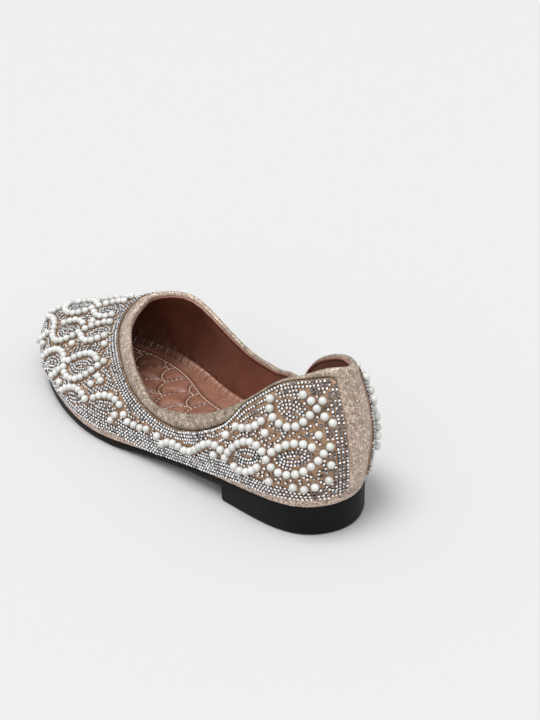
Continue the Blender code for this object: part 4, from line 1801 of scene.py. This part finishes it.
along_seam = seam_point * SEAM_STEP
pucker = np.sin(along_seam * 2 * math.pi / STITCH) * np.exp(-to_seam / 0.9)
pocket = flat.copy()
pocket[:, 2] += PUFF * (1 - np.exp(-((to_seam / 1.6) ** 1.2))) + 0.16 * pucker


def crease(spots):
    """Lets the drawn pockets settle as a cloth under pressure, and returns the new points."""
    data = bpy.data.meshes.new("pockets")
    sewn.to_mesh(data)
    data.vertices.foreach_set("co", (spots * MM * BLOW_UP).ravel())
    pockets = placed("pockets", data)
    held = pockets.vertex_groups.new(name="held")
    held.add([int(i) for i in np.flatnonzero((to_seam < 0.6) | on_edge)], 1.0, "REPLACE")
    cloth = pockets.modifiers.new("Cloth", "CLOTH")
    cloth.settings.quality = 4
    cloth.settings.vertex_group_mass = "held"
    cloth.settings.use_pressure = True
    cloth.settings.uniform_pressure_force = 1.5
    cloth.settings.shrink_min = -0.015
    cloth.settings.bending_stiffness = 2.0
    cloth.settings.effector_weights.gravity = 0.0
    cloth.point_cache.frame_end = SETTLED
    for shown_frame in range(1, SETTLED + 1):
        bpy.context.scene.frame_set(shown_frame)
    blown = pockets.evaluated_get(bpy.context.evaluated_depsgraph_get()).data
    moved = np.empty(len(spots) * 3)
    blown.vertices.foreach_get("co", moved)
    bpy.data.objects.remove(pockets)
    bpy.context.scene.frame_set(1)
    return moved.reshape(-1, 3) / MM / BLOW_UP


shift = crease(pocket) - pocket
moved = np.linalg.norm(shift, axis=1)
print(f"cloth moved the sock by up to {moved.max():.2f} mm")
pocket = pocket + shift * np.minimum(1, MOST_CREASE / np.maximum(moved, 1e-6)[:, None])

# %% [markdown]
# The leather of the sock is the lining's, a little lighter.  On the crests of the roll's gathers it
# is glossier and a highlight is painted, and in the seams' valleys and on the roll towards the toe
# shade is painted darker.

# %% Sock leather
sock_leather = Finish("sock_leather", {"IOR": 1.45, "Coat Roughness": 0.22, "Coat Weight": 0.5})
cloud = sock_leather.noise(11.0, 3.0)
fine = sock_leather.noise(0.9, 3.0)
pores = sock_leather.flakes(0.6)
crest = sock_leather.attribute("mark")
low = sock_leather.attribute("valley")
hide_blend = cloud * 0.6 + fine * 0.4
hide = sock_leather.ramp(hide_blend, [(0.3, screen(146, 98, 79)), (0.7, screen(186, 134, 111))])
# Painted shade: darker in the seams' valleys and on the roll towards the toe.
hide = sock_leather.mix(low, hide, screen(92, 54, 41))
sock_leather.feed({
    # Painted highlight: lighter on the crests of the roll's gathers, which are also glossier.
    "Base Color": sock_leather.mix(crest, hide, screen(238, 192, 172)),
    "Roughness": 0.32 + 0.2 * fine - 0.08 * crest,
    "Normal": sock_leather.bump(pores * 0.4 + fine, 0.07, 0.7),
})

# %% [markdown]
# The settled points go back into the grid.  Each vertex also carries how deep in a valley it
# lies, where the finish paints shade darker, and Solidify gives the leather its foam and board underneath.

# %% The sock
SOCK_BOARD = 1.6  # thickness of leather, foam and board

valley = sewn.verts.layers.float.new("valley")
for vert, spot, away in zip(sewn.verts, pocket, to_seam):
    vert.co = spot * MM
    vert[valley] = 0.85 * math.exp(-((away / 1.3) ** 2))
sock = make_piece("sock", sewn, sock_leather, ["insole"])
board = sock.modifiers.new("Foam", "SOLIDIFY")
board.thickness, board.offset = SOCK_BOARD * MM, -1

# %% [markdown]
# The seams are sewn with a pale thicker thread.  Each stitch is a small bead of thread, stretched
# along its seam and half sunk in the valley.

# %% Pale sewing thread
thread_finish = Finish("pale_thread", {
    "IOR": 1.5,
    "Coat Weight": 0.5,
    "Coat Roughness": 0.15,
    # A faint glow: painted light.
    "Emission Strength": 0.1,
})
twist = thread_finish.noise(0.35, 2.0)
ply = thread_finish.ramp(twist, [(0.3, screen(220, 180, 156)), (0.7, screen(250, 226, 208))])
thread_finish.feed({
    "Base Color": ply,
    # The thread glows faintly in its own colour: painted light, as thread is no lamp.
    "Emission Color": ply,
    "Roughness": 0.3 + 0.2 * twist,
})

# %% [markdown]
# Each seam is divided at half a stitch.  A stitch is centred on every second point and turned
# along the line through its two neighbours, and the sock's nearest point gives its height.

# %% The sock's stitches
STITCH_LIFT = 0.12  # its middle above the leather

mesh = bmesh.new()
bmesh.ops.create_uvsphere(mesh, u_segments=6, v_segments=5, radius=MM)
lying = Matrix.Rotation(math.pi / 2, 3, "Y")
bmesh.ops.rotate(mesh, verts=mesh.verts, cent=(0, 0, 0), matrix=lying)
bmesh.ops.scale(mesh, verts=mesh.verts, vec=(1.05, 0.4, 0.34))
spots, aheads = [], []
for seam in seams:
    line = even_points(seam, STITCH / 2)
    after = line[2::2]
    spots.append(in_plane(line[1::2][:len(after)]))
    aheads.append(in_plane(after - line[0::2][:len(after)]))
spots, aheads = np.vstack(spots), np.vstack(aheads)
number, _ = nearest(tree_of(in_plane(pocket)), spots)
spots[:, 2] = pocket[number, 2] + STITCH_LIFT
upright, even = np.tile([0.0, 0.0, 1.0], (len(spots), 1)), np.ones(len(spots))
scatter("sock_stitches", template_mesh("stitch", mesh), spots, upright, aheads, even, even,
        thread_finish)

# %% [markdown]
# Round the sock's edge the lining leather is gathered into a soft roll.  It is one closed
# section carried round inside the feather line, and small creases run across it.  They come and
# go along the edge, as gathers do.

# %% The ruched roll
ROLL_SECTION = [  # out from the feather line, up from it, steps
    (-2.25, 1.4, 2),
    (-2.05, 3.4, 2),
    (-2.1, 5.6, 3),
    (-3.1, 6.6, 3),
    (-4.6, 6.2, 3),
    (-6.0, 4.6, 3),
    (-7.3, 3.3, 2),
    (-7.9, 2.3, 1),
    (-5.0, 1.2, 1),
]
ROLL_COLUMNS = 1800


def roll_place(s, t):
    """A place on the roll, and how strongly a highlight is painted there on the crest of a gather, less
    towards the toe.
    """
    outs, rises, steps = (np.array(part) for part in zip(*ROLL_SECTION))
    shares = closed_curve(outs, steps.astype(int))
    j = np.round(t * len(shares)).astype(int) % len(shares)
    out, rise = (shares @ outs)[j], (shares @ rises)[j]
    around = s * last.girth
    crossing = around + 0.8 * np.sin(around / 3.7) + (out + 5) * 0.35 * np.sin(around / 9.1)
    strength = 0.6 + 0.4 * ripples(around, 0 * around, (23, 37, 14), 31)
    gather = np.sin(crossing * 2 * math.pi / 2.1) + 0.6 * np.sin(crossing * 2 * math.pi / 3.3 + 1)
    swell = 0.16 * ripples(around, 0 * around, (17, 29), 32)
    shown = step_up(rise, 2.2, 3.6)
    lift = (0.36 * gather * strength + swell) * shown
    spots = edge_line(around, out - 0.6 * lift, rise + lift)
    highlight_share = 0.15 + 0.65 * step_up(spots[:, 1], -60, -5)
    return spots, shown * step_up(gather * strength, 0.3, 1.2) * highlight_share


mesh = bmesh.new()
laid_grid(mesh, ROLL_COLUMNS, sum(step for _, _, step in ROLL_SECTION), roll_place)
# Painted shade: the roll is darker towards the toe, where the toe box is in shade.
valley = mesh.verts.layers.float.new("valley")
for vert in mesh.verts:
    vert[valley] = 0.75 * (1 - float(step_up(vert.co.y / MM, -75, -25)))
sock_roll = make_piece("sock_roll", mesh, sock_leather, ())

# %% [markdown]
# ## The sole
#
# The sole is one moulding of matt black rubber: a low heel with a straight front, a hollow arch
# and a forepart that lifts at the toe.  The CAD sole has the right shape in coarse facets, so
# the same outline is filled again with smooth quads.  Rows of quads stand close together at the
# heel's front, which keeps that corner crisp without a bevel.

# %% The underside's height
ARCH_RISE, ARCH_END = 9.0, -32.5  # how high the arch is at the heel, and where it ends
ARCH_TILT = math.radians(3)  # the arch is higher on the inner side
SPRING_START, TOE_SPRING = -62.0, 7.6  # where the forepart starts to lift, and how far
# Rows of quads up the heel's front and round its inner corner, as (along, up).
BREAST = (
    (59.9, 0.0), (59.6, 0.25), (59.5, 0.9), (59.4, 5.5),
    (59.25, 6.9), (58.8, 7.9), (58.0, 8.7), (57.0, 9.0),
)


def underside(spots):
    """Height of the sole's underside at each place."""
    x, y = spots[:, 0], spots[:, 1]
    share = (BREAST[-1][0] - y) / (BREAST[-1][0] - ARCH_END)
    arch = ARCH_RISE * (1 - share) * (1 + 0.15 * share)
    front, heights = zip(*BREAST[::-1])
    arch = np.where(y > BREAST[-1][0], np.interp(y, front, heights), arch)
    tilted = arch - x * math.sin(ARCH_TILT) * np.clip(arch / 2, 0, 1)
    hollow = np.where((y > ARCH_END - 12) & (y < BREAST[0][0]), np.maximum(tilted, 0), 0)
    full = np.clip((SPRING_START - y) / (SPRING_START + LENGTH / 2), 0, None)
    return hollow + TOE_SPRING * full**1.35


on_heel, in_arch, at_toe = underside(np.array([[0, 90.0, 0], [0, 40.0, 0], [0, -117.0, 0]]))
print(f"underside: heel {on_heel:.1f}, arch {in_arch:.1f}, toe {at_toe:.1f}")

# %% [markdown]
# The sole's wall is a stack of rows.  Those at the top hang from the feather line, and those at
# the bottom stand on the underside, so the wall grows and shrinks with the heel and the arch.

# %% The rows of the sole's wall
SOLE_LIP = 0.1  # the wall stands out this far from the feather line
SOLE_GAP = 0.3  # the sole's top, below the feather line
EDGE_CHAMFER = 1.3  # height of the chamfer along the bottom, less where the wall is low
SOLE_HEEL, SOLE_TOE = 104.0, -102.0  # along the shoe, where the sides turn into the ends
SOLE_ENDS = 60  # quads across the heel and the toe
sole_outline = Outline(SOLE_LIP, SOLE_HEEL, SOLE_TOE)
alongs = np.concatenate([
    np.linspace(SOLE_HEEL, 61.0, 30, endpoint=False),
    [61.0, 60.3],
    [along for along, _ in BREAST],
    np.linspace(55.5, SOLE_TOE, 120),
])
# From the top edge how far out and down, and from the bottom one how far out and how many
# chamfers up.
WALL_ROWS = (
    ("top", -6.0, 0.0),
    ("top", -0.6, 0.0),
    ("top", -0.18, -0.15),
    ("top", 0.0, -0.6),
    ("low", 0.0, 1.0),
    ("low", -0.38, 0.3),
    ("low", -1.3, 0.0),
)


def rim_of(row):
    """One row of the sole's wall, as a function of the distance round."""
    end, out, up = row

    def edge(around):
        rim = edge_line(around, np.full(np.shape(around), SOLE_LIP + out))
        top = rim[:, 2] - SOLE_GAP
        low = underside(edge_line(around, np.full(np.shape(around), SOLE_LIP)))
        if end == "top":
            rim[:, 2] = top + up
        elif up:
            rim[:, 2] = low + up * np.minimum(EDGE_CHAMFER, 0.4 * (top - low))
        else:
            rim[:, 2] = underside(rim)
        return rim

    return edge


def wall_stops():
    """Distances round the wall, one for each quad on the patches' edges."""
    share = np.linspace(0, 1, SOLE_ENDS, endpoint=False)
    heel, _, _, _ = sole_outline.edges(share, np.full(SOLE_ENDS, alongs[0]))
    _, toe, _, _ = sole_outline.edges(1 - share, np.full(SOLE_ENDS, alongs[0]))
    outer = sole_outline.around("outer", alongs[:-1])
    inner = sole_outline.around("inner", alongs[:0:-1])
    return np.concatenate([heel, outer, toe, inner + last.girth])


stops = wall_stops()
rims = np.array([rim_of(row)(stops) for row in WALL_ROWS])
print("quads round the sole:", len(stops), "lowest point:", round(float(rims[:, :, 2].min()), 2))

# %% [markdown]
# Plain moulded rubber is almost black, with a dull sheen and a fine grit that only breaks up the
# highlight.

# %% Black rubber
rubber = Finish("black_rubber", {"IOR": 1.5, "Specular IOR Level": 0.16})
grit = rubber.noise(0.45, 3.0)
smear = rubber.noise(14.0, 3.0)
rubber.feed({
    "Base Color": rubber.ramp(smear, [(0.3, (0.0035, 0.0035, 0.004, 1)), (0.7, (0.006, 0.0058, 0.0062, 1))]),
    "Roughness": 0.46 + 0.14 * smear,
    "Normal": rubber.bump(grit, 0.03, 0.5),
})

# %% [markdown]
# The wall, the top and the underside are three grids with the same stops on their edges.  They
# meet point for point, so merging by distance closes the sole, and a sharp edge is kept wherever
# two faces meet at a clear angle.


# %% The sole
def sole_patch(mesh, edge, level):
    """Fills the outline with a grid of quads and gives it its height."""
    def place(s, t):
        along = np.interp(t * (len(alongs) - 1), np.arange(len(alongs)), alongs)
        spots = sole_outline.fill(s, along, edge)
        inner = (s > 0.5 / SOLE_ENDS) & (s < 1 - 0.5 / SOLE_ENDS) & (t > 1e-4) & (t < 1 - 1e-4)
        spots[inner, 2] = level(spots[inner])
        return spots

    laid_grid(mesh, SOLE_ENDS, len(alongs) - 1, place)


def wall_place(s, t):
    """A place on the wall: s runs round the shoe, t down the rows."""
    i = np.round(s * len(stops)).astype(int) % len(stops)
    return rims[np.round(t * (len(rims) - 1)).astype(int), i]


mesh = bmesh.new()
laid_grid(mesh, len(stops), len(rims) - 1, wall_place)
sole_patch(mesh, rim_of(WALL_ROWS[0]), lambda spots: spots[:, 2])
sole_patch(mesh, rim_of(WALL_ROWS[-1]), underside)
bmesh.ops.remove_doubles(mesh, verts=mesh.verts, dist=1e-6)
print("open edges left on the sole:", sum(edge.is_boundary for edge in mesh.edges))
sole = make_piece("sole", mesh, rubber, ["outsole"])
sole.data.set_sharp_from_angle(angle=math.radians(48))

# %% [markdown]
# ## Floor, camera and light
#
# The shoe stands on a seamless pale ground.  The floor is one matt sheet, large enough to have
# no visible edge, and it is marked as stage, so it isn't part of the shoe.

# %% The floor
FLOOR_HALF = 6.0  # metres
floor_paint = Finish("pale_floor", {
    "Base Color": grey(0.8),
    "Roughness": 0.85,
    "Specular IOR Level": 0.2,
})
mesh = bmesh.new()
bmesh.ops.create_grid(mesh, x_segments=4, y_segments=4, size=FLOOR_HALF)
floor = placed("floor", finished("floor", mesh))
floor.data.materials.append(floor_paint.material)
floor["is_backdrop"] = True
print("floor:", 2 * FLOOR_HALF, "m across")

# %% [markdown]
# The camera looks down at the outer side from behind the heel, with a long lens.  It is placed
# by its direction, the point it looks at and its distance, which are easier to adjust than the
# numbers of a matrix.

# %% The camera
AZIMUTH, ELEVATION, ROLL = 136.5, 28.5, -0.35  # degrees
LOOK_AT = np.array([-41.5, 14.31, 30.0])
DISTANCE = 863.1
turn, rise, roll = np.radians([AZIMUTH, ELEVATION, ROLL])
back = np.array([math.sin(turn) * math.cos(rise), -math.cos(turn) * math.cos(rise), math.sin(rise)])
level = np.array([math.cos(turn), math.sin(turn), 0.0])
upright = np.cross(back, level)
right = level * math.cos(roll) + upright * math.sin(roll)
above = upright * math.cos(roll) - level * math.sin(roll)
camera = placed("camera", bpy.data.cameras.new("camera"))
camera.data.lens, camera.data.sensor_width = 85, 36
camera.data.clip_start, camera.data.clip_end = 0.05, 20
pose = Matrix.Identity(4)
for i, axis in enumerate((right, above, back)):
    for j in range(3):
        pose[j][i] = axis[j]
pose.translation = Vector((LOOK_AT + back * DISTANCE) * MM)
camera.matrix_world = pose
bpy.context.scene.camera = camera
print("camera:", [round(part, 3) for part in pose.translation])

# %% [markdown]
# Two very wide suns stand in for softboxes, one almost overhead and a weaker one from behind
# the camera, in a white world that keeps the shadows light.

# %% The light
world = bpy.data.worlds.new("studio")
world.use_nodes = True
background = world.node_tree.nodes["Background"]
background.inputs["Color"].default_value = WHITE
background.inputs["Strength"].default_value = 0.52
bpy.context.scene.world = world


def softbox(name, spot, spread, power):
    """A far, wide lamp: its light is even over the floor, and its shadows are soft."""
    light = bpy.data.lights.new(name, "SUN")
    light.angle, light.energy = math.radians(spread), power
    lamp = placed(name, light)
    lamp.location = spot
    lamp.rotation_euler = (-Vector(spot)).to_track_quat("-Z", "Y").to_euler()
    print(f"{name} light: {power} over {spread} degrees")


softbox("key", (0.38, -0.12, 1.5), 28, 1.47)
softbox("fill", (1.0, 1.0, 1.3), 60, 0.55)
bpy.context.scene.view_settings.view_transform = "Standard"

# %% [markdown]
# ## The size
#
# The finished shoe has to fill the same box as the CAD model, so both boxes are printed,
# as plain lists of metres.

# %% Size and finish
visual_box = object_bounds()
sizes = {}
for kind, box in (("cad", cad_box), ("visual", visual_box)):
    sizes[kind] = [list(map(float, corner)) for corner in box]
print("size:", sizes)
